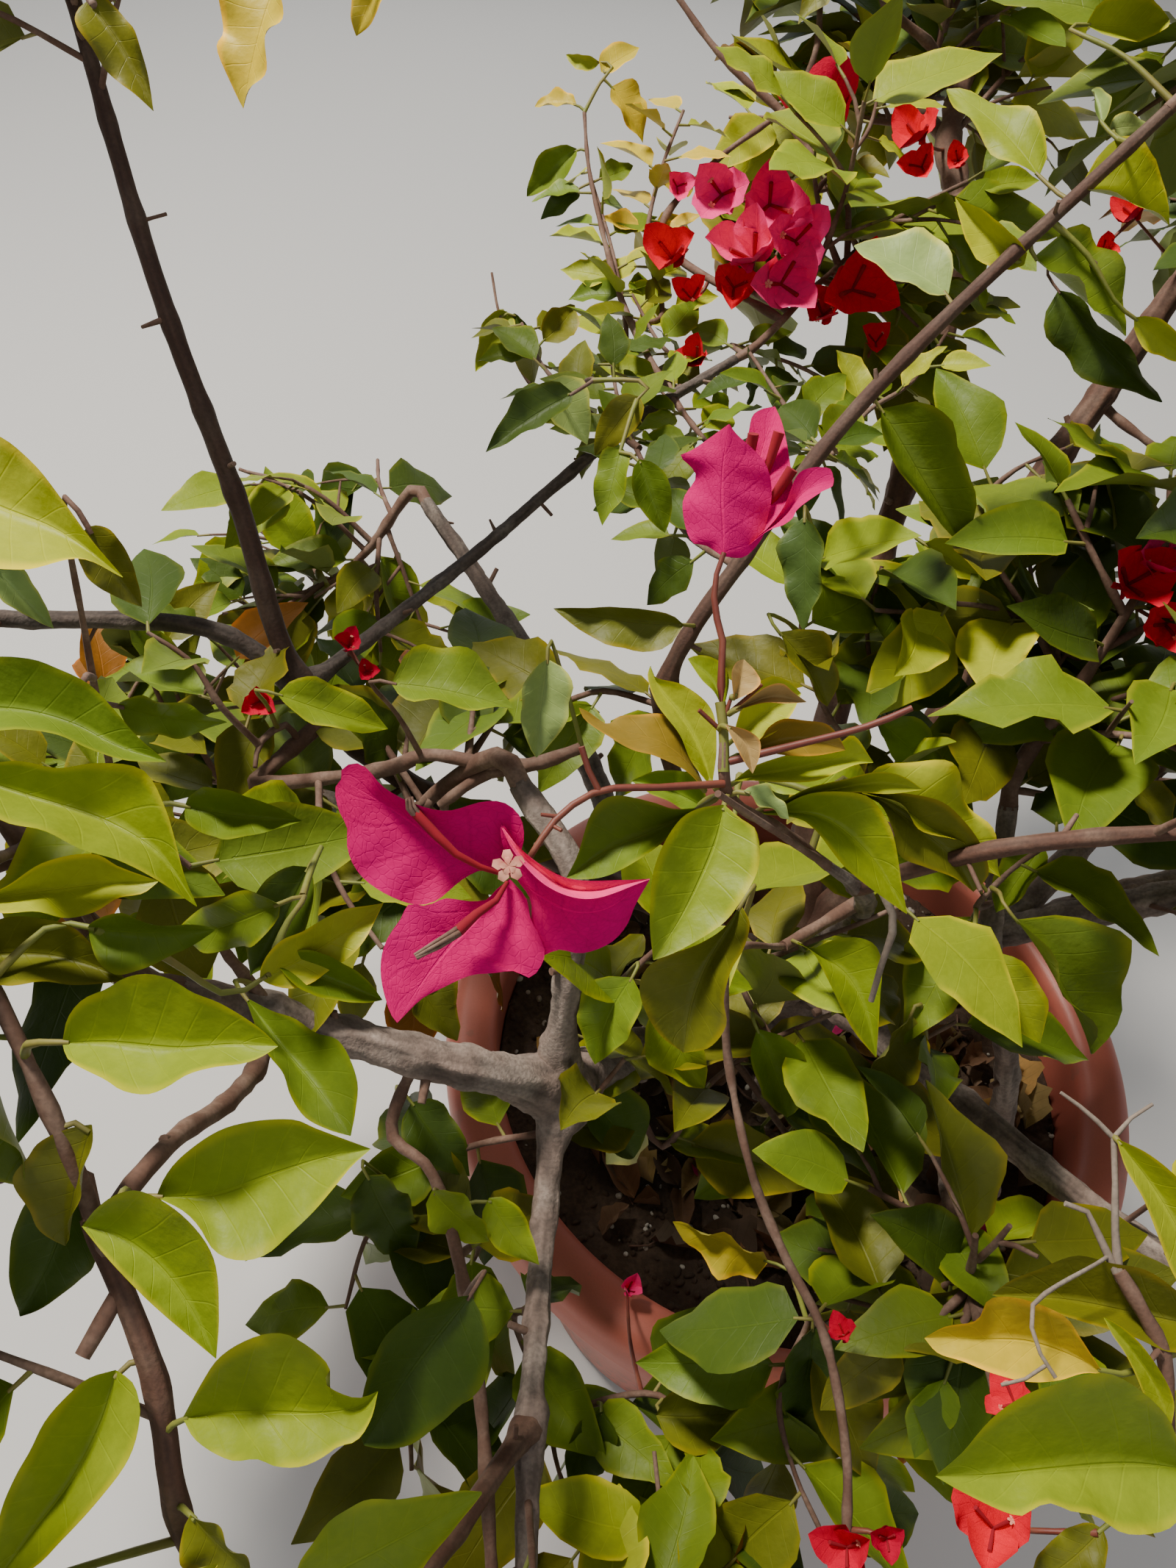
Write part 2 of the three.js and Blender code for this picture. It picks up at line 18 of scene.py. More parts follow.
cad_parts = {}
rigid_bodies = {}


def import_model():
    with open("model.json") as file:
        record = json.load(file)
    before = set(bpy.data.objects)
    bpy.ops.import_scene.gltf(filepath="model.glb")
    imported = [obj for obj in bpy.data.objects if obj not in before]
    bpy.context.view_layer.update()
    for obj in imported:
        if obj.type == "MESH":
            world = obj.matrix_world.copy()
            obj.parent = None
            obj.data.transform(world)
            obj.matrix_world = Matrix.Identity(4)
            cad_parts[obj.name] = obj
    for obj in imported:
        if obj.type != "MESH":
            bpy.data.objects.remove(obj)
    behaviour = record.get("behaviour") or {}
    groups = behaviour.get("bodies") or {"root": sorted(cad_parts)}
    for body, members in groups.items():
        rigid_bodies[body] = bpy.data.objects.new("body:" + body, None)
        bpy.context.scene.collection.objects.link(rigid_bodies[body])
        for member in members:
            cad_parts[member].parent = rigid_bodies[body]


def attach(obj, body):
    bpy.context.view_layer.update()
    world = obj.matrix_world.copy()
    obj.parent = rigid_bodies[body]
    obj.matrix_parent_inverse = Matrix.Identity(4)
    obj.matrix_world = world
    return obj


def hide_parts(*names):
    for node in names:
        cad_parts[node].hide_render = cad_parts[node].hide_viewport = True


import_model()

LOG = logging.getLogger("bush")
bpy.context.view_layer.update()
BODY = "root"
MM = 0.001
UP = np.array([0.0, 0.0, 1.0])
GOLDEN_ANGLE = math.pi * (3 - math.sqrt(5))
LEAF_TURN = 2.4
TWIG_NUDGE = (0.02, 0.05, 0.0)
LEAF_NUDGE = (0.03, 0.0, 0.0)
Points = np.ndarray
Pixel = tuple[float, float]
Place = tuple[float, float, float]
Socket = bpy.types.NodeSocket


def unit(vector: Points) -> Points:
    """The vector, or each row of an array, at length one."""
    length = np.linalg.norm(vector, axis=-1, keepdims=True)
    return vector / np.maximum(length, 1e-9)


def turned(vector: Points, axis: Points, angle: float) -> Points:
    """The vector turned about an axis of length one."""
    cos, sin = math.cos(angle), math.sin(angle)
    return vector * cos + np.cross(axis, vector) * sin + axis * np.dot(axis, vector) * (1 - cos)


def side_of(way: Points, nudge: Place = TWIG_NUDGE) -> Points:
    """A nearly level direction across a way. The nudge serves ways that point straight up."""
    return unit(np.cross(way, UP + np.array(nudge)))


def smooth_bump(offset: float, reach: float) -> float:
    """One at no offset, falling smoothly to nothing past the reach."""
    return math.exp(-((offset / reach) ** 2))


def net(rows: int, columns: int, closed: bool = False) -> Points:
    """Corners of the faces between rows of points, whose last column joins the first if closed."""
    wide = columns if closed else columns + 1
    row, column = np.meshgrid(np.arange(rows), np.arange(columns), indexing="ij")
    first = (row * wide + column).ravel()
    second = (row * wide + (column + 1) % wide).ravel()
    return np.stack([first, second, second + wide, first + wide], -1)


class Dice:
    """Seeded dice that give the same draws as those of the part's source."""

    FACTOR = 48271
    RANGE = 2147483647

    def __init__(self, seed: int) -> None:
        """Starts the row of draws at a seed."""
        self.state = seed

    def roll(self, low: float, high: float) -> float:
        """The next draw between low and high."""
        self.state = (self.state * self.FACTOR) % self.RANGE
        return low + (high - low) * self.state / self.RANGE

    def pick(self, choices: Sequence) -> object:
        """One of several choices."""
        return choices[min(int(self.roll(0, len(choices))), len(choices) - 1)]


class Path:
    """A smooth path through points, with places given by the share of its length."""

    STEPS = 24

    def __init__(self, points: Sequence) -> None:
        """Bends a path through the points."""
        self.samples = self._bent(np.asarray(points, float))
        steps = np.linalg.norm(np.diff(self.samples, axis=0), axis=1)
        self.reach = np.concatenate([[0.0], np.cumsum(steps)])
        self.length = float(self.reach[-1])

    def _bent(self, points: Points) -> Points:
        """Centripetal Catmull-Rom samples through the points."""
        if len(points) == 2:
            return np.linspace(points[0], points[1], self.STEPS + 1)
        knots = np.vstack([2 * points[0] - points[1], points, 2 * points[-1] - points[-2]])
        share = np.linspace(0, 1, self.STEPS, endpoint=False)[:, None]
        rows = []
        for k in range(1, len(knots) - 2):
            before, start, end, after = knots[k - 1 : k + 3]
            a, b, c = (
                max(math.sqrt(np.linalg.norm(two - one)), 1e-4)
                for one, two in ((before, start), (start, end), (end, after))
            )
            out = ((start - before) / a - (end - before) / (a + b) + (end - start) / b) * b
            into = ((end - start) / b - (after - start) / (b + c) + (after - end) / c) * b
            square = -3 * start + 3 * end - 2 * out - into
            cube = 2 * start - 2 * end + out + into
            rows.append(start + out * share + square * share**2 + cube * share**3)
        rows.append(points[-1:])
        return np.vstack(rows)

    def at(self, share: float | Points) -> Points:
        """The place at a share of the length, or at each of several."""
        far = np.asarray(share, float) * self.length
        return np.stack([np.interp(far, self.reach, self.samples[:, k]) for k in range(3)], -1)

    def way(self, share: float) -> Points:
        """The direction at a share of the length."""
        low, high = max(share - 0.02, 0.0), min(share + 0.02, 1.0)
        return unit(self.at(high) - self.at(low))


@dataclass(frozen=True)
class Viewpoint:
    """The camera of the photograph: its place, its tilt and its focal length in pixels."""

    eye: Place = (-119.0, -306.0, 851.0)
    pitch: float = 50.0
    roll: float = 6.0
    focal: float = 1600.0
    width: float = 1600.0
    height: float = 2133.0
    film: float = 36.0

    @property
    def axes(self) -> tuple[Points, Points, Points]:
        """Directions forward, to the right and up in the picture."""
        tilt, roll = math.radians(self.pitch), math.radians(self.roll)
        forward = np.array([0.0, math.cos(tilt), -math.sin(tilt)])
        level_up = np.array([0.0, math.sin(tilt), math.cos(tilt)])
        side = np.array([1.0, 0.0, 0.0])
        right = math.cos(roll) * side + math.sin(roll) * level_up
        up = -math.sin(roll) * side + math.cos(roll) * level_up
        return forward, right, up

    def seen(self, x: float, y: float, depth: float) -> Points:
        """The place that shows at a pixel, at a depth in front of the camera."""
        forward, right, up = self.axes
        ray = forward + (x - self.width / 2) / self.focal * right
        ray = ray + (self.height / 2 - y) / self.focal * up
        return np.array(self.eye) + depth * ray

    def line(self, pixels: Sequence[Place]) -> list[Points]:
        """The places of several pixels with their depths."""
        return [self.seen(*pixel) for pixel in pixels]

    def toward(self, places: Points) -> Points:
        """The direction from a place, or from each row of an array, to the camera."""
        return unit(np.array(self.eye) - places)

    def shown(self, places: Points) -> Points:
        """Pixel x, pixel y and depth of each place."""
        forward, right, up = self.axes
        away = np.atleast_2d(places) - np.array(self.eye)
        depth = away @ forward
        safe = np.where(np.abs(depth) < 1, 1, depth)
        x = self.width / 2 + self.focal * (away @ right) / safe
        y = self.height / 2 - self.focal * (away @ up) / safe
        return np.stack([x, y, depth], -1)

    def holds(self, x: float, y: float, depth: float, margin: float) -> bool:
        """Whether a pixel with a depth lies in the picture or in a margin round it."""
        across = -margin < x < self.width + margin
        return depth >= NEAREST_DEPTH and across and -margin < y < self.height + margin

    def build(self) -> None:
        """Makes the camera and sets it as the scene's own."""
        forward, right, up = self.axes
        data = bpy.data.cameras.new("photo_view")
        data.sensor_width = self.film
        data.lens = self.film * self.focal / self.height
        data.clip_start = 0.01
        camera = bpy.data.objects.new("photo_view", data)
        turn = Matrix((right, up, -forward)).transposed().to_4x4()
        camera.matrix_world = Matrix.Translation(Vector(self.eye) * MM) @ turn
        bpy.context.scene.collection.objects.link(camera)
        bpy.context.scene.camera = camera


NEAREST_DEPTH = 10.0
VIEW = Viewpoint()


class Tone(Enum):
    """Base colours of leaves, bracts and litter, dealt out by spray. They are partly the plants' own colours
    and partly painted light and shade: the lighter tones, PINK among them, paint the light on leaves and
    blooms that lie in light, and DARK paints the shade on leaves in shade.
    """

    GREEN = (0.13, 0.19, 0.012)
    BRIGHT = (0.2, 0.26, 0.012)
    LIME = (0.33, 0.365, 0.02)
    PALE = (0.26, 0.34, 0.1)
    OLIVE = (0.135, 0.14, 0.01)
    DARK = (0.055, 0.09, 0.009)
    BLUE = (0.062, 0.11, 0.022)
    BRONZE = (0.3, 0.115, 0.014)
    RUSTY = (0.22, 0.145, 0.014)
    TAN = (0.36, 0.24, 0.09)
    YELLOW = (0.5, 0.38, 0.025)
    DRY = (0.15, 0.082, 0.045)
    MAGENTA = (0.66, 0.001, 0.145)
    # PINK is a lighter MAGENTA: painted light on blooms that lie in light.
    PINK = (0.98, 0.045, 0.235)
    RED = (0.78, 0.01, 0.035)
    CRIMSON = (0.55, 0.004, 0.04)


CROWN_MIX = (
    Tone.GREEN, Tone.GREEN, Tone.GREEN, Tone.BRIGHT, Tone.BRIGHT, Tone.OLIVE, Tone.DARK, Tone.LIME,
)  # fmt: skip
RED_MIX = (Tone.GREEN, Tone.BRIGHT, Tone.OLIVE, Tone.DARK)
# SHADE_MIX paints shade: its darker tones go to masses deep in the crown and low over the pot.
SHADE_MIX = (Tone.DARK, Tone.GREEN, Tone.GREEN, Tone.OLIVE)
LITTER_MIX = (Tone.DRY, Tone.DRY, Tone.TAN, Tone.DRY)


class NodeDesk:
    """Places and links the nodes of one tree."""

    def __init__(self, tree: bpy.types.NodeTree) -> None:
        """Works on a tree."""
        self.tree = tree

    def put(self, kind: str, inputs: dict | None = None, **settings: object) -> bpy.types.Node:
        """A new node with some of its settings changed and some of its inputs fed."""
        node = self.tree.nodes.new(kind)
        for name, value in settings.items():
            setattr(node, name, value)
        for name, value in (inputs or {}).items():
            self.feed(node.inputs[name], value)
        return node

    def feed(self, socket: Socket, value: object) -> None:
        """Links a socket to another one, or sets its own value."""
        if isinstance(value, Socket):
            self.tree.links.new(value, socket)
        else:
            socket.default_value = value

    def sum(self, operation: str, *values: object) -> Socket:
        """The result of a Math node."""
        return self.put("ShaderNodeMath", dict(enumerate(values)), operation=operation).outputs[0]

    def times(self, one: object, two: object) -> Socket:
        """The product of two values."""
        return self.sum("MULTIPLY", one, two)

    def rest(self, value: object) -> Socket:
        """What a value leaves of one."""
        return self.sum("SUBTRACT", 1.0, value)

    def spread(self, value: object, low: object, high: float, to: float = 1.0) -> Socket:
        """A smooth step of a value from low to high, up to a top value."""
        inputs = {"Value": value, "From Min": low, "From Max": high, "To Max": to}
        return self.put("ShaderNodeMapRange", inputs, interpolation_type="SMOOTHSTEP").outputs[0]

    def mix(self, share: object, one: object, two: object, blend: str = "MIX") -> Socket:
        """Two colours mixed by a share."""
        inputs = {0: share, 6: one, 7: two}
        return self.put("ShaderNodeMix", inputs, data_type="RGBA", blend_type=blend).outputs[2]

    def place(self) -> Socket:
        """The place in the piece's own space."""
        return self.put("ShaderNodeTexCoord").outputs["Object"]

    def noise(self, scale: object, detail: float) -> Socket:
        """Soft noise over the piece."""
        inputs = {"Vector": self.place(), "Scale": scale, "Detail": detail}
        return self.put("ShaderNodeTexNoise", inputs).outputs["Fac"]

    def parts(self, vector: Socket) -> list[Socket]:
        """The three parts of a vector."""
        return list(self.put("ShaderNodeSeparateXYZ", {0: vector}).outputs)

    def blade_map(self) -> Socket:
        """The place on a blade's own map."""
        return self.put("ShaderNodeUVMap", uv_map="UVMap").outputs[0]

    def tint(self) -> Socket:
        """The colour that the mesh carries."""
        return self.put("ShaderNodeAttribute", attribute_name="tint").outputs["Color"]

    def bump(self, strength: float, depth: float, height: Socket) -> Socket:
        """A normal that follows a height."""
        inputs = {"Strength": strength, "Distance": depth, "Height": height}
        return self.put("ShaderNodeBump", inputs).outputs[0]


class NodeGroup:
    """A node group with named inputs and outputs, and the desk that fills it."""

    def __init__(self, name: str, kind: str, inputs: dict[str, object], outputs: Sequence[str]) -> None:
        """Makes the group.

        Args:
            name: The group's name.
            kind: Shader or Geometry.
            inputs: The kind of each input, or the usual value of one that is a number.
            outputs: Names of its outputs, which are numbers in a shader group and else shapes.
        """
        self.tree = bpy.data.node_groups.new(name, kind + "NodeTree")
        self.sockets = {}
        for label, content in inputs.items():
            plain = isinstance(content, float)
            socket = self._add(label, "INPUT", "Float" if plain else content)
            if plain:
                socket.default_value = content
            self.sockets[label] = socket.identifier
        for label in outputs:
            self._add(label, "OUTPUT", "Float" if kind == "Shader" else "Geometry")
        self.desk = NodeDesk(self.tree)
        self.given = self.desk.put("NodeGroupInput").outputs
        self.result = self.desk.put("NodeGroupOutput").inputs

    def _add(self, label: str, side: str, kind: str) -> bpy.types.NodeTreeInterfaceSocket:
        """Adds one socket to the group's face."""
        return self.tree.interface.new_socket(name=label, in_out=side, socket_type="NodeSocket" + kind)

    def end(self, shapes: Socket) -> None:
        """Ends a geometry group: its shapes become real and take the finish that it is given."""
        real = self.desk.put("GeometryNodeRealizeInstances", {0: shapes}).outputs[0]
        inputs = {"Geometry": real, "Material": self.given["Finish"]}
        self.desk.feed(self.result[0], self.desk.put("GeometryNodeSetMaterial", inputs).outputs[0])
        self.tree.is_modifier = True

    def baked(self, data: bpy.types.ID, name: str, **values: object) -> bpy.types.Mesh:
        """The plain mesh that a geometry group makes of a mesh or curve.

        Args:
            data: The mesh or curve.
            name: The new mesh's name.
            **values: Values of the group's inputs.

        Returns:
            The mesh, shaded smooth.
        """
        holder = bpy.data.objects.new(name + "_source", data)
        bpy.context.scene.collection.objects.link(holder)
        modifier = holder.modifiers.new(self.tree.name, "NODES")
        modifier.node_group = self.tree
        for label, value in values.items():
            modifier[self.sockets[label]] = value
        bpy.context.view_layer.update()
        graph = bpy.context.evaluated_depsgraph_get()
        mesh = bpy.data.meshes.new_from_object(holder.evaluated_get(graph))
        mesh.name = name
        mesh.polygons.foreach_set("use_smooth", np.ones(len(mesh.polygons), bool))
        bpy.data.objects.remove(holder)
        return mesh


def vein_group() -> NodeGroup:
    """Shader group with the veins and the margin of a blade, read from its own map."""
    inputs = {"Pairs": 7.0, "Lean": 0.16, "Fineness": 0.86}
    group = NodeGroup("blade_veins", "Shader", inputs, ("Rib", "Veins", "Margin"))
    desk, given = group.desk, group.given
    across, along, _ = desk.parts(desk.blade_map())
    side = desk.sum("ABSOLUTE", desk.sum("MULTIPLY_ADD", across, 2.0, -1.0))
    thin = desk.sum("MULTIPLY_ADD", along, -0.035, 0.055)
    lean = desk.times(desk.sum("POWER", side, 0.8), given["Lean"])
    waver = desk.times(desk.noise(45.0, 1.0), 0.09)
    line = desk.sum("ADD", desk.sum("SUBTRACT", along, lean), waver)
    steps = desk.sum("FRACT", desk.times(line, given["Pairs"]))
    saw = desk.sum("ABSOLUTE", desk.sum("MULTIPLY_ADD", steps, 2.0, -1.0))
    veins = desk.times(desk.spread(saw, given["Fineness"], 1.0), desk.rest(desk.spread(side, 0.75, 1.0)))
    desk.feed(group.result["Rib"], desk.rest(desk.spread(desk.sum("DIVIDE", side, thin), 0.35, 1.0)))
    desk.feed(group.result["Veins"], veins)
    desk.feed(group.result["Margin"], desk.spread(side, 0.78, 1.0))
    return group


def weather_group() -> NodeGroup:
    """Shader group with the patches and grain that wear leaves on any surface."""
    inputs = {"Patch Size": 12.0, "Grain Size": 300.0}
    group = NodeGroup("weathering", "Shader", inputs, ("Patches", "Grain", "Height"))
    desk = group.desk
    coarse = desk.noise(group.given["Patch Size"], 4.0)
    fine = desk.noise(group.given["Grain Size"], 5.0)
    desk.feed(group.result["Patches"], desk.spread(coarse, 0.4, 0.66))
    desk.feed(group.result["Grain"], desk.spread(fine, 0.3, 0.72))
    desk.feed(group.result["Height"], desk.sum("ADD", desk.times(coarse, 0.6), desk.times(fine, 0.4)))
    return group


def new_material(name: str) -> tuple[bpy.types.Material, NodeDesk, bpy.types.Node]:
    """A material with nodes, its desk and its shader."""
    material = bpy.data.materials.new(name)
    material.use_nodes = True
    return material, NodeDesk(material.node_tree), material.node_tree.nodes["Principled BSDF"]


@dataclass(frozen=True)
class Finish:
    """A plain finish: a base colour with weathering over it."""

    name: str
    colour: Place
    patch_colour: Place
    roughness: float
    patch_size: float
    grain_size: float
    patch_share: float
    grain_share: float
    bump: float
    bump_depth: float
    tinted: bool = False
    splash_top: float = 0.0
    splash_colour: Place = (0.2, 0.13, 0.09)
    grain_darkness: float = 0.45

    def splashes(self, desk: NodeDesk) -> Socket:
        """Where soil has splashed up from the ground and where the surface is scuffed."""
        height = desk.parts(desk.place())[2]
        low = desk.rest(desk.spread(height, 0.0, self.splash_top))
        spots = desk.spread(desk.noise(150.0, 5.0), 0.42, 0.62, 0.85)
        dust = desk.spread(desk.noise(22.0, 3.0), 0.4, 0.7, 0.35)
        scuffs = desk.spread(desk.noise(70.0, 6.0), 0.62, 0.7, 0.3)
        return desk.sum("MAXIMUM", desk.times(low, desk.sum("MAXIMUM", spots, dust)), scuffs)

    def make(self, weather: NodeGroup) -> bpy.types.Material:
        """Builds the material.

        Args:
            weather: The group of patches and grain.

        Returns:
            The new material.
        """
        material, desk, shader = new_material(self.name)
        inputs = {"Patch Size": self.patch_size, "Grain Size": self.grain_size}
        wear = desk.put("ShaderNodeGroup", inputs, node_tree=weather.tree)
        patches = desk.times(wear.outputs["Patches"], self.patch_share)
        colour = desk.mix(patches, (*self.colour, 1), (*self.patch_colour, 1))
        dark = tuple(part * self.grain_darkness for part in self.colour)
        colour = desk.mix(desk.times(wear.outputs["Grain"], self.grain_share), colour, (*dark, 1))
        if self.tinted:
            colour = desk.mix(1.0, colour, desk.tint(), "MULTIPLY")
        if self.splash_top:
            colour = desk.mix(self.splashes(desk), colour, (*self.splash_colour, 1))
        desk.feed(shader.inputs["Base Color"], colour)
        shader.inputs["Roughness"].default_value = self.roughness
        normal = desk.bump(self.bump, self.bump_depth, wear.outputs["Height"])
        desk.feed(shader.inputs["Normal"], normal)
        return material


@dataclass(frozen=True)
class BladeFinish:
    """A veined finish of a leaf or bract. Its colour is the tint that its spray was dealt."""

    name: str
    roughness: float
    rib_gain: float
    vein_gain: float
    margin: Place
    margin_share: float
    pairs: float = 7.0
    lean: float = 0.16
    fineness: float = 0.86
    net: float = 0.0
    underside: float = 0.3
    underside_colour: Place = (0.4, 0.46, 0.16)
    sheen: float = 0.35
    net_scale: Place = (19.0, 25.0, 1.0)

    def net_lines(self, desk: NodeDesk) -> Socket:
        """The fine net between the veins."""
        where = desk.put("ShaderNodeMapping", {"Vector": desk.blade_map(), "Scale": self.net_scale})
        cells = desk.put("ShaderNodeTexVoronoi", feature="DISTANCE_TO_EDGE", voronoi_dimensions="2D")
        desk.feed(cells.inputs["Vector"], where.outputs[0])
        desk.feed(cells.inputs["Scale"], 1.0)
        return desk.rest(desk.spread(cells.outputs["Distance"], 0.0, 0.12))

    def make(self, veins: NodeGroup) -> bpy.types.Material:
        """Builds the material.

        Args:
            veins: The group of veins and margin.

        Returns:
            The new material.
        """
        material, desk, shader = new_material(self.name)
        inputs = {"Pairs": self.pairs, "Lean": self.lean, "Fineness": self.fineness}
        rib, vein, margin = desk.put("ShaderNodeGroup", inputs, node_tree=veins.tree).outputs
        tint = desk.tint()

        def toned(*gains: float) -> Socket:
            """The tint with more or less of its red, green and blue."""
            return desk.mix(1.0, tint, (*gains, 1), "MULTIPLY")

        blotch = desk.spread(desk.noise(38.0, 3.0), 0.35, 0.7)
        colour = desk.mix(desk.times(blotch, 0.4), tint, toned(1.4, 1.25, 1.0))
        speck = desk.spread(desk.noise(420.0, 2.0), 0.36, 0.62)
        colour = desk.mix(desk.times(speck, 0.16), colour, toned(0.6, 0.66, 0.6))
        edge = desk.times(desk.times(margin, self.margin_share), desk.spread(desk.noise(60.0, 2.0), 0.3, 0.6))
        colour = desk.mix(edge, colour, toned(*self.margin))
        lit, shade = toned(1.9, 1.75, 1.6), toned(0.55, 0.6, 0.55)
        colour = desk.mix(desk.times(vein, abs(self.vein_gain)), colour, lit if self.vein_gain > 0 else shade)
        heights = [desk.times(vein, -0.22)]
        if self.net:
            lines = self.net_lines(desk)
            colour = desk.mix(desk.times(lines, self.net), colour, shade)
            heights.append(desk.times(lines, -0.18))
        colour = desk.mix(desk.times(rib, self.rib_gain), colour, lit)
        back = desk.put("ShaderNodeNewGeometry").outputs["Backfacing"]
        under = desk.mix(self.underside, colour, (*self.underside_colour, 1))
        desk.feed(shader.inputs["Base Color"], desk.mix(back, colour, under))
        shader.inputs["Roughness"].default_value = self.roughness
        shader.inputs["Specular IOR Level"].default_value = self.sheen
        for source, share in ((rib, -0.9), (desk.noise(120.0, 2.0), 1.6), (desk.noise(700.0, 2.0), 0.4)):
            heights.append(desk.times(source, share))
        height = heights[0]
        for more in heights[1:]:
            height = desk.sum("ADD", height, more)
        desk.feed(shader.inputs["Normal"], desk.bump(0.5, 0.0005, height))
        return material


def plain_mesh(
    name: str, verts: Points, faces: list[Points], uv: Points | None = None, tint: Points | None = None
) -> bpy.types.Mesh:
    """Makes a mesh from arrays.

    Args:
        name: The mesh's name.
        verts: Places in millimetres.
        faces: Arrays of corner numbers, one array for each number of corners.
        uv: A map place for each vertex.
        tint: A colour for each vertex.

    Returns:
        The mesh, shaded smooth.
    """
    mesh = bpy.data.meshes.new(name)
    corners = np.concatenate([part.ravel() for part in faces]).astype(np.int32)
    counts = np.concatenate([np.full(len(part), part.shape[1]) for part in faces])
    starts = np.concatenate([[0], np.cumsum(counts)[:-1]]).astype(np.int32)
    mesh.vertices.add(len(verts))
    mesh.vertices.foreach_set("co", (np.asarray(verts) * MM).astype(np.float32).ravel())
    mesh.loops.add(len(corners))
    mesh.loops.foreach_set("vertex_index", corners)
    mesh.polygons.add(len(counts))
    mesh.polygons.foreach_set("loop_start", starts)
    if uv is not None:
        layer = mesh.uv_layers.new(name="UVMap")
        layer.data.foreach_set("uv", np.asarray(uv, np.float32)[corners].ravel())
    if tint is not None:
        add_attribute(mesh, "tint", "FLOAT_COLOR", "color", opaque(tint))
    mesh.polygons.foreach_set("use_smooth", np.ones(len(counts), bool))
    mesh.update(calc_edges=True)
    return mesh


def opaque(tints: Points) -> Points:
    """Colours with a full fourth part."""
    return np.hstack([tints, np.ones((len(tints), 1))]).astype(np.float32)


def add_attribute(mesh: bpy.types.Mesh, name: str, kind: str, part: str, values: Points) -> None:
    """Gives each point of a mesh a value of its own."""
    mesh.attributes.new(name, kind, "POINT").data.foreach_set(part, values.ravel())


class MeshBin:
    """Gathers many small shapes into one mesh."""

    def __init__(self) -> None:
        """Starts empty."""
        self.verts: list[Points] = []
        self.faces: list[Points] = []
        self.uv: list[Points] = []
        self.tint: list[Points] = []
        self.count = 0

    def add(
        self, verts: Points, faces: list[Points], uv: Points | None = None, tint: Place = (1, 1, 1)
    ) -> None:
        """Adds one shape.

        Args:
            verts: Places in millimetres.
            faces: Arrays of corner numbers.
            uv: A map place for each vertex.
            tint: One colour, or one for each vertex.
        """
        self.verts.append(verts)
        self.faces.extend(part + self.count for part in faces)
        self.uv.append(np.zeros((len(verts), 2)) if uv is None else uv)
        self.tint.append(np.broadcast_to(np.asarray(tint, float), (len(verts), 3)))
        self.count += len(verts)

    def mesh(self, name: str, finish: bpy.types.Material) -> bpy.types.Mesh:
        """The gathered shapes as one mesh with a finish."""
        arrays = (np.concatenate(part) for part in (self.uv, self.tint))
        mesh = plain_mesh(name, np.concatenate(self.verts), self.faces, *arrays)
        mesh.materials.append(finish)
        return mesh


@dataclass(frozen=True)
class BladeCut:
    """The cut of a leaf or bract, in shares of its length."""

    rows: int
    columns: int
    foot_power: float
    tip_power: float
    fold: float
    droop: float
    wave: float
    waves: float
    phase: float
    curl: float
    ripple: float = 0.05
    bow: float = 0.0

    @property
    def peak(self) -> float:
        """Share of the length at which the blade is widest."""
        return self.foot_power / (self.foot_power + self.tip_power)

    def grid(self) -> tuple[Points, Points, Points]:
        """Share along, side from -1 to 1, and half width at each point of the blade."""
        along = np.linspace(0, 1, self.rows + 1)
        side = np.linspace(-1, 1, self.columns + 1)
        top = self.peak**self.foot_power * (1 - self.peak) ** self.tip_power
        half = (along**self.foot_power * (1 - along) ** self.tip_power) / top
        half = np.clip(half, 0.035, None) * np.where(along > 0.97, 0.35, 1.0)
        share, across = np.meshgrid(along, side, indexing="ij")
        turn = 2 * math.pi * 1.6 * share + 1.7 * self.phase + 2.1 * np.sign(across)
        uneven = 1 + self.ripple * np.sin(turn) + self.ripple * 0.4 * np.sin(2.7 * turn)
        return share, across, half[:, None] * uneven

    def heights(self, share: Points, across: Points, half: Points) -> Points:
        """How far each point stands over the plane of the blade, in shares of its length."""
        fold = self.fold * np.abs(across) ** 1.2 * half
        turn = 2 * math.pi * self.waves * share + self.phase
        wave = self.wave * np.sin(turn + np.sign(across) * 1.3) * across**2 * half**0.5
        droop = -self.droop * share**2
        roll = -self.curl * across**2 * half * (0.4 + share)
        return fold + wave + droop + roll

    def faces(self) -> Points:
        """Corner numbers of the blade's faces, seen from above."""
        return net(self.rows, self.columns)

    def cut(self, foot: Points, tip: Points, left: Points, right: Points) -> tuple[Points, Points]:
        """Stretches the blade over four places.

        Args:
            foot: Where the blade starts.
            tip: Where it ends.
            left: Its widest place on the left.
            right: Its widest place on the right.

        Returns:
            The blade's vertices and its map.
        """
        share, across, half = self.grid()
        length = np.linalg.norm(tip - foot)
        along = (tip - foot) / length
        rib = foot + (tip - foot) * self.peak
        to_left, to_right = left - rib, right - rib
        lift = unit(np.cross(to_right - to_left, along))
        reach = np.where((across < 0)[..., None], -to_left, to_right)
        verts = foot + share[..., None] * (tip - foot)
        verts = verts + (across * half)[..., None] * reach
        verts = verts + (self.heights(share, across, half) * length)[..., None] * lift
        bend = (self.bow * length * np.sin(math.pi * share))[..., None]
        verts = verts + bend * unit(to_right - to_left)
        uv = np.stack([(across + 1) / 2, share], -1)
        return verts.reshape(-1, 3), uv.reshape(-1, 2)


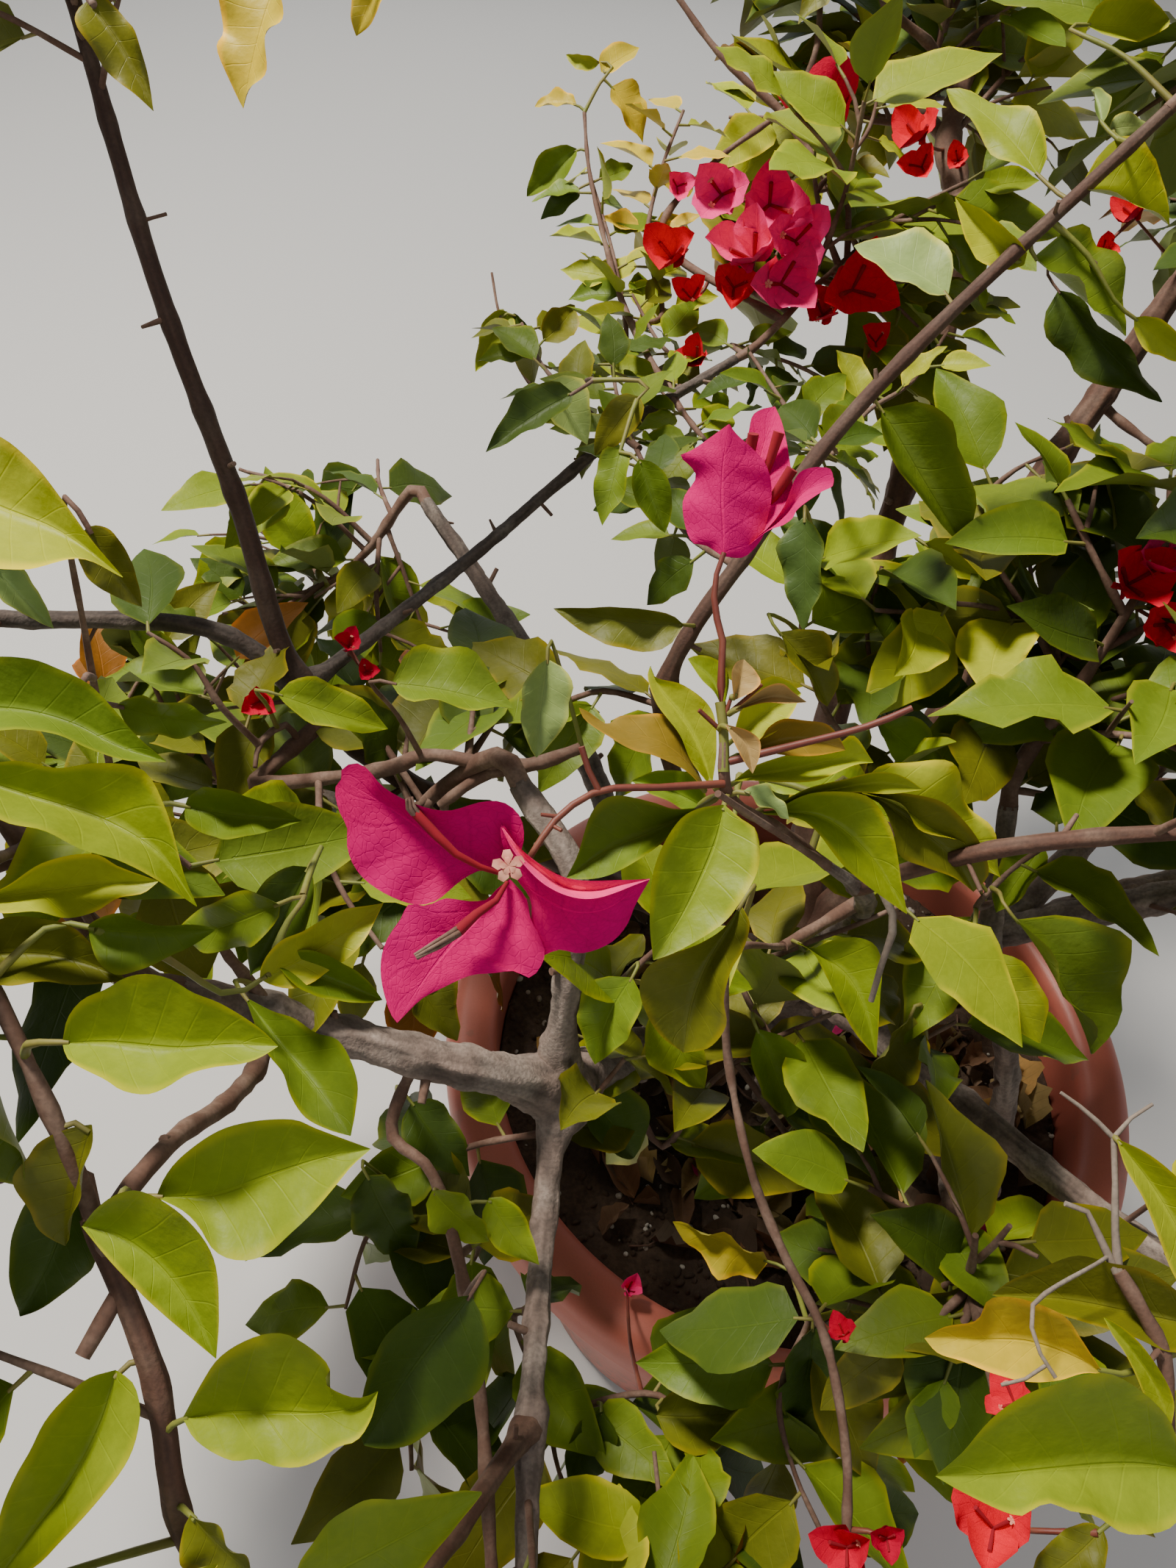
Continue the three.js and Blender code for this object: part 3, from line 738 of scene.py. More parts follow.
class CutRange(Enum):
    """Lowest and highest measures of a kind of blade, in the order of a cut's own from foot_power on."""

    LEAF = (
        (0.55, 0.7), (0.95, 1.15), (0.05, 0.2), (0.04, 0.26), (0.02, 0.07),
        (1.3, 2.9), (0, 6), (-0.06, 0.12), (0.02, 0.1), (-0.07, 0.07),
    )  # fmt: skip
    NEAR_LEAF = (
        (0.5, 0.66), (0.84, 1.06), (0.08, 0.26), (0.05, 0.24), (0.03, 0.075),
        (1.3, 2.9), (0, 6), (-0.08, 0.12), (0.02, 0.07), (-0.05, 0.05),
    )  # fmt: skip
    LITTER = (
        (0.5, 0.7), (0.8, 1.1), (0.15, 0.5), (-0.3, 0.3), (0.05, 0.12), (1.6, 3.2), (0, 6), (-0.5, 0.3),
    )  # fmt: skip
    BRACT = (
        (0.42, 0.5), (0.62, 0.78), (0.05, 0.22), (-0.18, 0.1), (0.03, 0.07),
        (1.4, 2.6), (0, 6), (-0.15, 0.05),
    )  # fmt: skip

    def cut(self, dice: Dice, rows: int, columns: int) -> BladeCut:
        """Draws a cut from the ranges."""
        return BladeCut(rows, columns, *(dice.roll(low, high) for low, high in self.value))


@cache
def stem_group() -> NodeGroup:
    """Geometry group that turns paths into round stems."""
    inputs = {"Paths": "Geometry", "Sides": "Int", "Finish": "Material"}
    group = NodeGroup("stems_along_paths", "Geometry", inputs, ("Stems",))
    desk, given = group.desk, group.given
    ring = desk.put("GeometryNodeCurvePrimitiveCircle", {"Radius": 1.0, "Resolution": given["Sides"]})
    radius = desk.put("GeometryNodeInputRadius").outputs[0]
    inputs = {"Curve": given["Paths"], "Profile Curve": ring.outputs[0], "Fill Caps": True, "Scale": radius}
    group.end(desk.put("GeometryNodeCurveToMesh", inputs).outputs[0])
    return group


@cache
def leaf_group() -> NodeGroup:
    """Geometry group that sets one of several leaves on each point."""
    inputs = {"Points": "Geometry", "Cuts": "Collection", "Growth": 1.0, "Finish": "Material"}
    group = NodeGroup("leaves_on_points", "Geometry", inputs, ("Leaves",))
    desk, given = group.desk, group.given
    inputs = {"Collection": given["Cuts"], "Separate Children": True, "Reset Children": True}
    cuts = desk.put("GeometryNodeCollectionInfo", inputs, transform_space="ORIGINAL")
    turn, size, kind = (
        desk.put("GeometryNodeInputNamedAttribute", {"Name": name}, data_type=content).outputs["Attribute"]
        for name, content in (("turn", "FLOAT_VECTOR"), ("size", "FLOAT"), ("kind", "INT"))
    )
    inputs = {
        "Points": given["Points"],
        "Instance": cuts.outputs[0],
        "Pick Instance": True,
        "Instance Index": kind,
        "Rotation": turn,
        "Scale": desk.times(size, given["Growth"]),
    }
    group.end(desk.put("GeometryNodeInstanceOnPoints", inputs).outputs[0])
    return group


class TwigBin:
    """Gathers thin stems as paths with a radius, and makes them round with Geometry Nodes."""

    def __init__(self, sides: int = 8) -> None:
        """Starts empty, for stems with a number of sides."""
        self.sides = sides
        self.twigs: list[tuple[Points, Points]] = []

    def add(
        self, points: Sequence, foot_radius: float, tip_radius: float, rough: float = 0.0, step: float = 5.0
    ) -> Path:
        """Adds a twig along a smooth path.

        Args:
            points: Places that it passes.
            foot_radius: Radius where it starts.
            tip_radius: Radius where it ends.
            rough: How uneven it is, as a share of its radius.
            step: Length of each straight piece.

        Returns:
            The twig's path.
        """
        path = Path(points)
        shares = np.linspace(0, 1, max(3, int(path.length / step) + 1))
        places = path.at(shares)
        radii = foot_radius + (tip_radius - foot_radius) * shares
        if rough:
            lumps = [noise.noise(Vector(place) * 0.13) for place in places]
            radii = radii * (1 + rough * np.array(lumps))
        self.twigs.append((places, radii))
        return path

    def mesh(self, name: str, finish: bpy.types.Material) -> bpy.types.Mesh:
        """The gathered stems as one plain mesh with a finish."""
        data = bpy.data.curves.new(name + "_paths", "CURVE")
        data.dimensions = "3D"
        for places, radii in self.twigs:
            spline = data.splines.new("POLY")
            spline.points.add(len(places) - 1)
            spline.points.foreach_set("co", np.hstack([places * MM, np.ones((len(places), 1))]).ravel())
            spline.points.foreach_set("radius", radii * MM)
        return stem_group().baked(data, name, Sides=self.sides, Finish=finish)


class LeafBin:
    """Gathers leaves as points, and sets one of several cuts on each with Geometry Nodes."""

    CUTS = 12
    ROWS = 9

    def __init__(self, name: str, ranges: CutRange, columns: int, width_share: float, seed: int) -> None:
        """Makes the cuts that leaves are picked from.

        Args:
            name: Name of the kind of leaf.
            ranges: What the cuts are drawn from.
            columns: The number of faces across a cut.
            width_share: Width of a leaf as a share of its length.
            seed: Seed of the dice.
        """
        self.rows: list[tuple] = []
        self.patterns = bpy.data.collections.new(name + "_cuts")
        dice = Dice(seed)
        half = width_share / 2 / MM
        for k in range(self.CUTS):
            cut = ranges.cut(dice, self.ROWS, columns)
            peak = cut.peak / MM
            foot, tip = np.zeros(3), np.array([0, 1 / MM, 0])
            verts, uv = cut.cut(foot, tip, np.array([-half, peak, 0]), np.array([half, peak, 0]))
            pattern = f"{name}_cut_{k:02d}"
            mesh = plain_mesh(pattern, verts, [cut.faces()], uv)
            self.patterns.objects.link(bpy.data.objects.new(pattern, mesh))

    def add(
        self, foot: Points, along: Points, across: Points, length: float, kind: int, tone: Points
    ) -> None:
        """Adds a leaf.

        Args:
            foot: Its foot.
            along: Its direction.
            across: The direction across it.
            length: Its length.
            kind: The number of its cut.
            tone: Its colour.
        """
        lift = np.cross(across, along)
        turn = Matrix((across, along, lift)).transposed().to_euler()
        self.rows.append((foot * MM, tuple(turn), length * MM, kind % self.CUTS, tone))

    def mesh(self, name: str, finish: bpy.types.Material) -> bpy.types.Mesh:
        """The gathered leaves as one plain mesh with a finish, after which the bin is empty."""
        places, turns, sizes, kinds, tones = (np.array(column) for column in zip(*self.rows))
        points = bpy.data.meshes.new(name + "_points")
        points.vertices.add(len(places))
        points.vertices.foreach_set("co", places.astype(np.float32).ravel())
        add_attribute(points, "turn", "FLOAT_VECTOR", "vector", turns.astype(np.float32))
        add_attribute(points, "size", "FLOAT", "value", sizes.astype(np.float32))
        add_attribute(points, "kind", "INT", "value", kinds.astype(np.int32))
        add_attribute(points, "tint", "FLOAT_COLOR", "color", opaque(tones))
        self.rows = []
        return leaf_group().baked(points, name, Cuts=self.patterns, Growth=1.0, Finish=finish)

    def clear(self) -> None:
        """Removes the patterns."""
        for pattern in list(self.patterns.objects):
            bpy.data.objects.remove(pattern)
        bpy.data.collections.remove(self.patterns)


class Workshop:
    """All materials of the bush, by name, and the shelf that its pieces go to."""

    PLAIN = (
        Finish(
            "satin_terracotta", (0.56, 0.15, 0.1), (0.45, 0.11, 0.075),
            0.45, 9.0, 900.0, 0.5, 0.1, 0.15, 0.0004, splash_top=0.11,
        ),
        Finish(
            "damp_soil", (0.06, 0.036, 0.022), (0.14, 0.088, 0.055),
            0.95, 40.0, 420.0, 0.7, 0.5, 0.9, 0.003,
        ),
        Finish(
            "grey_bark", (0.25, 0.178, 0.142), (0.385, 0.31, 0.255),
            0.9, 60.0, 700.0, 0.75, 0.5, 0.8, 0.0014, tinted=True,
        ),
        Finish(
            "red_brown_bark", (0.125, 0.055, 0.033), (0.2, 0.12, 0.08),
            0.78, 70.0, 800.0, 0.7, 0.4, 0.6, 0.0009, tinted=True,
        ),
        Finish(
            "twig_bark", (0.15, 0.075, 0.048), (0.27, 0.17, 0.12),
            0.8, 90.0, 900.0, 0.8, 0.4, 0.5, 0.0006,
        ),
        Finish(
            "green_stalk", (0.2, 0.22, 0.03), (0.25, 0.17, 0.05),
            0.6, 50.0, 600.0, 0.7, 0.2, 0.3, 0.0004,
        ),
        Finish(
            "red_stalk", (0.17, 0.032, 0.018), (0.24, 0.075, 0.035),
            0.55, 60.0, 700.0, 0.7, 0.2, 0.3, 0.0004,
        ),
        Finish(
            "pale_grit", (0.6, 0.56, 0.48), (0.3, 0.22, 0.15),
            0.85, 80.0, 500.0, 0.8, 0.3, 0.5, 0.0006,
        ),
        Finish(
            "flower_tube", (0.25, 0.001, 0.012), (0.4, 0.006, 0.014),
            0.9, 60.0, 500.0, 0.6, 0.1, 0.3, 0.0004,
        ),
        Finish(
            "dead_twig", (0.25, 0.19, 0.145), (0.39, 0.32, 0.25),
            0.85, 90.0, 900.0, 0.7, 0.4, 0.5, 0.0005,
        ),
        Finish(
            "cream_petal", (0.72, 0.24, 0.17), (0.86, 0.5, 0.32),
            0.6, 200.0, 900.0, 0.5, 0.1, 0.3, 0.0003,
        ),
    )  # fmt: skip
    BLADES = (
        BladeFinish("leaf", 0.48, 0.2, 0.12, (2.5, 1.75, 0.8), 0.7, fineness=0.9, sheen=0.2),
        BladeFinish(
            "bract", 0.62, 0.25, -0.2, (1.1, 1.5, 1.15), 0.2, 5.0, 0.3, 0.8, net=0.15,
            underside=0.2, underside_colour=(0.7, 0.006, 0.16), sheen=0.04,
        ),
        BladeFinish(
            "dry_leaf", 0.8, 0.3, -0.4, (1.3, 1.25, 1.2), 0.3, 7.0, 0.2, 0.8,
            underside_colour=(0.3, 0.2, 0.12),
        ),
    )  # fmt: skip

    def __init__(self) -> None:
        """Builds the shared groups and every material."""
        weather, veins = weather_group(), vein_group()
        self.materials = {one.name: one.make(weather) for one in self.PLAIN}
        self.materials.update({one.name: one.make(veins) for one in self.BLADES})

    def show(
        self,
        name: str,
        shapes: MeshBin | TwigBin | LeafBin | bpy.types.Mesh,
        finish: str,
        slot: str,
        *nodes: str,
    ) -> bpy.types.Object:
        """Puts finished shapes into the scene as a piece of the bush.

        Args:
            name: The piece's name.
            shapes: Its gathered shapes, or its mesh.
            finish: Name of its material.
            slot: Name of a slot of the record; it is not used.
            nodes: The nodes that the piece stands for.

        Returns:
            The piece.
        """
        mesh = shapes if isinstance(shapes, bpy.types.Mesh) else shapes.mesh(name, self.materials[finish])
        mesh.materials.clear()
        mesh.materials.append(self.materials[finish])
        mesh.validate()
        piece = bpy.data.objects.new(name, mesh)
        bpy.context.scene.collection.objects.link(piece)
        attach(piece, BODY)
        if nodes:
            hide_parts(*nodes)
        triangles = sum(len(face.vertices) - 2 for face in mesh.polygons)
        LOG.info("%s: %d triangles", name, triangles)
        return piece


class Bark(Enum):
    """Kinds of bark, by the name of their piece, their finish and their slot."""

    OLD = ("old_wood", "grey_bark", "old_bark")
    CANE = ("young_canes", "red_brown_bark", "cane_bark")


SOIL_TOP = 262.0
TRUNK_FORK = (-8, 6, 352)
KNOT = (-119, -116, 452)
KNUCKLE = (-213, -128, 508)
FRONT_FORK = (-116, -225, 446)
CENTRE_FORK = (-40, -106, 580)
LEFT_FORK = (-90, 6, 402)
CANE_ELBOW = (-232, 4, 520)
RIGHT_FORK = (74, 2, 410)
FRONT_RIGHT_FORK = (40, -70, 400)


@dataclass
class Limb:
    """A woody limb along a path, with a radius that tapers and may flare at its foot."""

    name: str
    bark: Bark
    foot: float
    tip: float
    points: tuple[Place, ...]
    flare: float = 0.0
    # Multiplies the bark's colour: values below one draw the limb darker as painted shade, for limbs that lie
    # in the crown's shadow.
    shade: float = 1.0
    flare_reach: float = 0.14
    path: Path = field(init=False)

    def __post_init__(self) -> None:
        """Bends the path."""
        self.path = Path(self.points)

    def radius(self, share: float) -> float:
        """The radius at a share of the length."""
        even = self.foot + (self.tip - self.foot) * share
        return even * (1 + self.flare * math.exp(-share / self.flare_reach))


# A shade below one paints the crown's shadow on a limb by darkening its bark.
LIMBS = (
    Limb("main_trunk", Bark.OLD, 17, 15, ((12, -14, 254), (5, -6, 300), TRUNK_FORK), 0.55),
    Limb("right_stem", Bark.OLD, 6.5, 3.6, ((99, -73, 254), (93, -66, 310), (78, -55, 385),
        (46, -40, 466), (42, -10, 512)), 0.55),
    Limb("knot_bough", Bark.OLD, 11, 8.6, (TRUNK_FORK, (-48, -44, 398), (-90, -88, 428), KNOT)),
    Limb("left_bough", Bark.OLD, 7.6, 5, (KNOT, (-138, -124, 474), (-168, -127, 488), KNUCKLE,
        (-236, -136, 532))),
    Limb("front_bough", Bark.OLD, 4.6, 3.4, (KNOT, (-118, -165, 436), FRONT_FORK, (-112, -272, 438))),
    Limb("inner_bough", Bark.OLD, 5.4, 4, (KNOT, (-119, -98, 500), (-120, -78, 530), (-142, -50, 542))),
    Limb("centre_bough", Bark.OLD, 8, 1.3, (TRUNK_FORK, (-6, -20, 430), (-20, -70, 520), CENTRE_FORK,
        (-54, -118, 604)), shade=0.75),
    Limb("left_cane", Bark.CANE, 6.2, 2.4, (TRUNK_FORK, LEFT_FORK, (-196, -4, 484), CANE_ELBOW,
        (-257, 38, 580), (-282, 68, 643), (-311, 118, 712)), shade=0.55),
    Limb("crossing_cane", Bark.OLD, 2.9, 2.2, (CANE_ELBOW, (-178, 77, 532), (-116, 152, 556),
        (-72, 196, 566)), shade=0.5),
    Limb("left_branch", Bark.OLD, 3.7, 2.7, (CANE_ELBOW, (-262, 9, 541), (-334, -8, 553),
        (-372, -18, 560)), shade=0.42),
    Limb("rising_cane", Bark.CANE, 3.7, 2, (TRUNK_FORK, (-62, -4, 452), (-96, -16, 560), (-74, 8, 606),
        (-42, 41, 646), (38, 99, 720)), shade=0.8),
    Limb("back_right_bough", Bark.CANE, 10, 5.4, (TRUNK_FORK, (40, 74, 420), (69, 161, 512),
        (117, 231, 571), (138, 262, 592))),
    Limb("back_bough", Bark.CANE, 9.5, 5, (TRUNK_FORK, (0, 110, 420), (30, 230, 500), (44, 296, 546),
        (42, 348, 592))),
    Limb("right_bough", Bark.OLD, 9, 4.6, (TRUNK_FORK, RIGHT_FORK, (160, 4, 462), (236, -6, 520))),
    Limb("front_right_bough", Bark.OLD, 7.5, 4, (TRUNK_FORK, FRONT_RIGHT_FORK, (92, -142, 436),
        (138, -190, 470))),
    Limb("right_cane", Bark.CANE, 2.4, 1.9, (CENTRE_FORK, (-12, -116, 616), (27, -117, 631),
        (82, -124, 652))),
    Limb("left_front_cane", Bark.CANE, 3.1, 2.4, (FRONT_FORK, (-150, -280, 500), (-184, -277, 549),
        (-197, -248, 580), (-214, -224, 595))),
    Limb("back_left_bough", Bark.OLD, 6, 4, (LEFT_FORK, (-130, 100, 410), (-190, 190, 424),
        (-226, 232, 440)), shade=0.6),
    Limb("right_back_bough", Bark.OLD, 6, 4, (RIGHT_FORK, (140, 70, 450), (206, 128, 512),
        (236, 152, 544))),
    Limb("low_front_bough", Bark.OLD, 4.6, 3.4, (FRONT_RIGHT_FORK, (36, -104, 412), (30, -132, 430))),
    Limb("left_low_bough", Bark.OLD, 4.8, 3.4, (LEFT_FORK, (-160, 36, 396), (-216, 46, 392),
        (-248, 50, 396))),
    Limb("right_low_bough", Bark.OLD, 5.4, 3.6, (RIGHT_FORK, (140, 34, 410), (196, 54, 412),
        (226, 62, 416))),
)  # fmt: skip
BOUGH = {limb.name: limb for limb in LIMBS}


@dataclass
class Wood:
    """The woody frame: a bark with relief over every limb, with knots, swollen nodes and cut spurs."""

    ring_step: float = 2.3
    node_step: float = 36.0
    node_swell: float = 0.13
    node_reach: float = 4.0
    thick_sides: int = 30
    thin_sides: int = 20
    spur_share: float = 0.55
    knots: tuple[tuple[Place, float, float], ...] = (
        (KNOT, 6.0, 15.0),
        ((-133, -120, 462), 3.5, 7.0),
        ((-110, -126, 446), 4.0, 7.0),
        ((-121, -108, 470), 3.0, 6.0),
        (KNUCKLE, 3.5, 9.0),
        ((-168, -127, 488), 2.4, 7.0),
        (CANE_ELBOW, 3.4, 9.0),
        (TRUNK_FORK, 6.0, 24.0),
        (CENTRE_FORK, 1.0, 6.0),
        ((-96, -16, 560), 2.4, 7.0),
        (FRONT_FORK, 2.5, 8.0),
        ((69, 161, 512), 2.6, 12.0),
        ((30, 230, 500), 2.4, 10.0),
    )

    def relief(self, limb: Limb, ring: Points, angle: float, run: float) -> float:
        """How much the bark stands out at a place, as a share of the radius."""
        x, y = math.cos(angle), math.sin(angle)
        if limb.bark is Bark.OLD:
            furrow = noise.noise(Vector((x * 3.4, y * 3.4, run * 0.035)))
            crust = noise.noise(Vector(ring * 0.23) + Vector((x, y, 0)))
            fine = noise.noise(Vector((x * 8.0, y * 8.0, run * 0.14)))
            return 0.17 * furrow + 0.1 * crust + 0.09 * fine
        ridge = math.cos(7 * angle + 2.2 * noise.noise(Vector((run * 0.03, limb.foot, 0))))
        fine = noise.noise(Vector((x * 6.0, y * 6.0, run * 0.1)))
        return 0.045 * ridge + 0.08 * fine

    def skin(self, limb: Limb, dice: Dice) -> tuple[Points, list[Points], Points]:
        """The bark of one limb.

        Args:
            limb: The limb.
            dice: Dice for the places of its nodes.

        Returns:
            Vertices, faces and a tint for each vertex, which holds painted light on the ridges and painted
            shade in the furrows and on limbs in shadow.
        """
        rings = max(12, int(limb.path.length / self.ring_step))
        sides = self.thick_sides if limb.foot > 7 else self.thin_sides
        shares = np.linspace(0, 1, rings + 1)
        places = limb.path.at(shares)
        nodes = [dice.roll(4, self.node_step)]
        while nodes[-1] < limb.path.length:
            nodes.append(nodes[-1] + self.node_step * dice.roll(0.7, 1.3))
        across = side_of(limb.path.way(0), (0.13, 0.29, 0.0))
        verts, tints = [], []
        for share, place in zip(shares, places):
            way = limb.path.way(float(share))
            across = unit(across - way * np.dot(across, way))
            beside = np.cross(way, across)
            run = share * limb.path.length
            swell = sum(smooth_bump(run - node, self.node_reach) for node in nodes) * self.node_swell
            radius = limb.radius(float(share)) * (1 + swell)
            for k in range(sides):
                angle = 2 * math.pi * k / sides
                out = across * math.cos(angle) + beside * math.sin(angle)
                stand = self.relief(limb, place, angle, run)
                spot = place + out * radius * (1 + stand)
                for heart, height, reach in self.knots:
                    away = float(np.linalg.norm(spot - np.array(heart)))
                    if away < reach * 2.4:
                        lump = 1 + 0.7 * noise.noise(Vector(spot) * 0.19)
                        spot = spot + out * height * smooth_bump(away, reach) * lump
                verts.append(spot)
                # The tint is lighter where the bark stands out and darker in its furrows, painted light and
                # painted shade, times the limb's painted shade.
                tints.append(limb.shade * float(np.clip(0.9 + stand * 3.2, 0.35, 1.5)))
        foot = np.arange(sides)[::-1][None, :]
        top = (np.arange(sides) + rings * sides)[None, :]
        faces = [net(rings, sides, closed=True), foot, top]
        return np.array(verts), faces, np.repeat(np.array(tints)[:, None], 3, 1)

    def spurs(self, limb: Limb, twigs: TwigBin, dice: Dice) -> None:
        """Short cut or dead side shoots along a limb."""
        run, turn = dice.roll(10, 30), dice.roll(0, 6)
        while run < limb.path.length - 8:
            share = run / limb.path.length
            place, way = limb.path.at(share), limb.path.way(share)
            out = unit(np.cross(way, turned(UP, unit(way), turn)))
            radius = limb.radius(share)
            far = radius + dice.roll(2.5, 9.0)
            lean = unit(out + way * dice.roll(-0.2, 0.7))
            if dice.roll(0, 1) < self.spur_share:
                thick = min(2.4, max(0.8, radius * 0.32))
                twigs.add([place, place + lean * far * 0.6, place + lean * far], thick, thick * 0.75, 0.5)
            run += dice.roll(14, 34)
            turn += GOLDEN_ANGLE

    def build(self, shop: Workshop, twigs: TwigBin) -> None:
        """Makes the pieces of both barks, and drops the spurs into the twigs."""
        for bark in Bark:
            gathered, nodes = MeshBin(), []
            for number, limb in enumerate(LIMBS):
                if limb.bark is bark:
                    verts, faces, tints = self.skin(limb, Dice(311 + number))
                    gathered.add(verts, faces, None, tints)
                    self.spurs(limb, twigs, Dice(911 + number))
                    nodes.append(limb.name)
            name, finish, slot = bark.value
            shop.show(name, gathered, finish, slot, *nodes)


class Balls:
    """Places along limbs and twigs: what leaves keep clear of and what they may hang from."""

    LIMB_STEP = 8
    TWIG_STEP = 4
    LOOKS_WEIGHT = 1.6

    def __init__(self) -> None:
        """Gathers the limbs."""
        centres, radii = [], []
        for limb in LIMBS:
            count = math.ceil(limb.path.length / self.LIMB_STEP)
            for k in range(count + 1):
                centres.append(limb.path.at(k / count))
                radii.append(limb.radius(k / count))
        self.centres = np.array(centres)
        self.radii = np.array(radii)
        self.carriers = self.centres

    def carry(self, path: Path) -> None:
        """Lets later twigs and leaves hang from a path."""
        count = max(2, int(path.length / self.TWIG_STEP))
        self.carriers = np.vstack([self.carriers, path.at(np.linspace(0.02, 1, count))])

    def nearest(self, place: Points) -> Points:
        """The carrier that a twig to a place would start from, also judged by how they look side by side."""
        away = np.linalg.norm(self.carriers - place, axis=1)
        pixels = VIEW.shown(self.carriers)[:, :2] - VIEW.shown(place)[0, :2]
        apart = np.linalg.norm(pixels, axis=1) * np.linalg.norm(place - np.array(VIEW.eye)) / VIEW.focal
        return self.carriers[int(np.argmin(away + self.LOOKS_WEIGHT * apart))]


# Parts of the picture, as polygons of pixels, that stay open between the leaves
OPEN_WAYS = (
    ((-60, -60), (640, -60), (700, 350), (770, 540), (600, 620), (-60, 640)),
    ((700, 1660), (800, 1560), (960, 1600), (1040, 1720), (1040, 1900), (900, 1910), (780, 1830)),
    ((1380, 1330), (1560, 1330), (1560, 1620), (1400, 1600)),
    ((690, 150), (930, 150), (960, 420), (900, 520), (740, 420)),
)  # fmt: skip
NEAR_CURTAIN = 350.0
VIEW_MARGIN, OUTSIDE_MARGIN = 70.0, 20.0
LIP_RADIUS, LIP_INNER_RADIUS, LIP_TOP = 190.0, 143.0, 308.0
BLOOMS_LEFT_OUT = ((1110, -60), (1660, -60), (1660, 330), (1110, 330))


def inside(polygon: Sequence[Pixel], x: float, y: float) -> bool:
    """Whether a pixel lies in a polygon."""
    odd = False
    for (ax, ay), (bx, by) in zip(polygon, polygon[1:] + polygon[:1]):
        if (ay > y) != (by > y) and x < (bx - ax) * (y - ay) / (by - ay) + ax:
            odd = not odd
    return odd


def keeps_view_open(places: Points) -> bool:
    """Whether a leaf or twig leaves open what the photograph shows open."""
    for x, y, depth in VIEW.shown(places):
        if not VIEW.holds(x, y, depth, VIEW_MARGIN):
            continue
        if depth < NEAR_CURTAIN or any(inside(way, x, y) for way in OPEN_WAYS):
            return False
    return not hides_bloom(places)


def out_of_picture(places: Points) -> bool:
    """Whether a leaf or twig lies outside what the photograph shows."""
    return not any(VIEW.holds(*row, OUTSIDE_MARGIN) for row in VIEW.shown(places))


def hides_bloom(places: Points) -> bool:
    """Whether a leaf or twig stands in front of a bloom that the photograph shows."""
    spots = np.array([(x, y, depth, pixels) for (x, y), pixels, depth, _ in SEEN_BLOOMS])
    shown = VIEW.shown(places)[:, None]
    apart = np.hypot(shown[..., 0] - spots[:, 0], shown[..., 1] - spots[:, 1])
    return bool(np.any((apart < spots[:, 3] * 0.75) & (shown[..., 2] < spots[:, 2])))


def clear_of_planter(place: Points) -> bool:
    """Whether a place keeps clear of the planter and its soil."""
    radius = math.hypot(place[0], place[1])
    if radius > LIP_RADIUS:
        return place[2] > 5
    if radius > LIP_INNER_RADIUS:
        return place[2] > LIP_TOP
    return place[2] > SOIL_TOP + 10


def shaded(tone: Tone, dice: Dice, spread: float = 0.14) -> Points:
    """A tone with a small change of lightness and of warmth."""
    gain = dice.roll(1 - spread, 1 + spread)
    warm = dice.roll(-spread / 2, spread / 2)
    return np.clip(np.array(tone.value) * gain * np.array([1 + warm, 1.0, 1 - warm]), 0.002, 0.95)


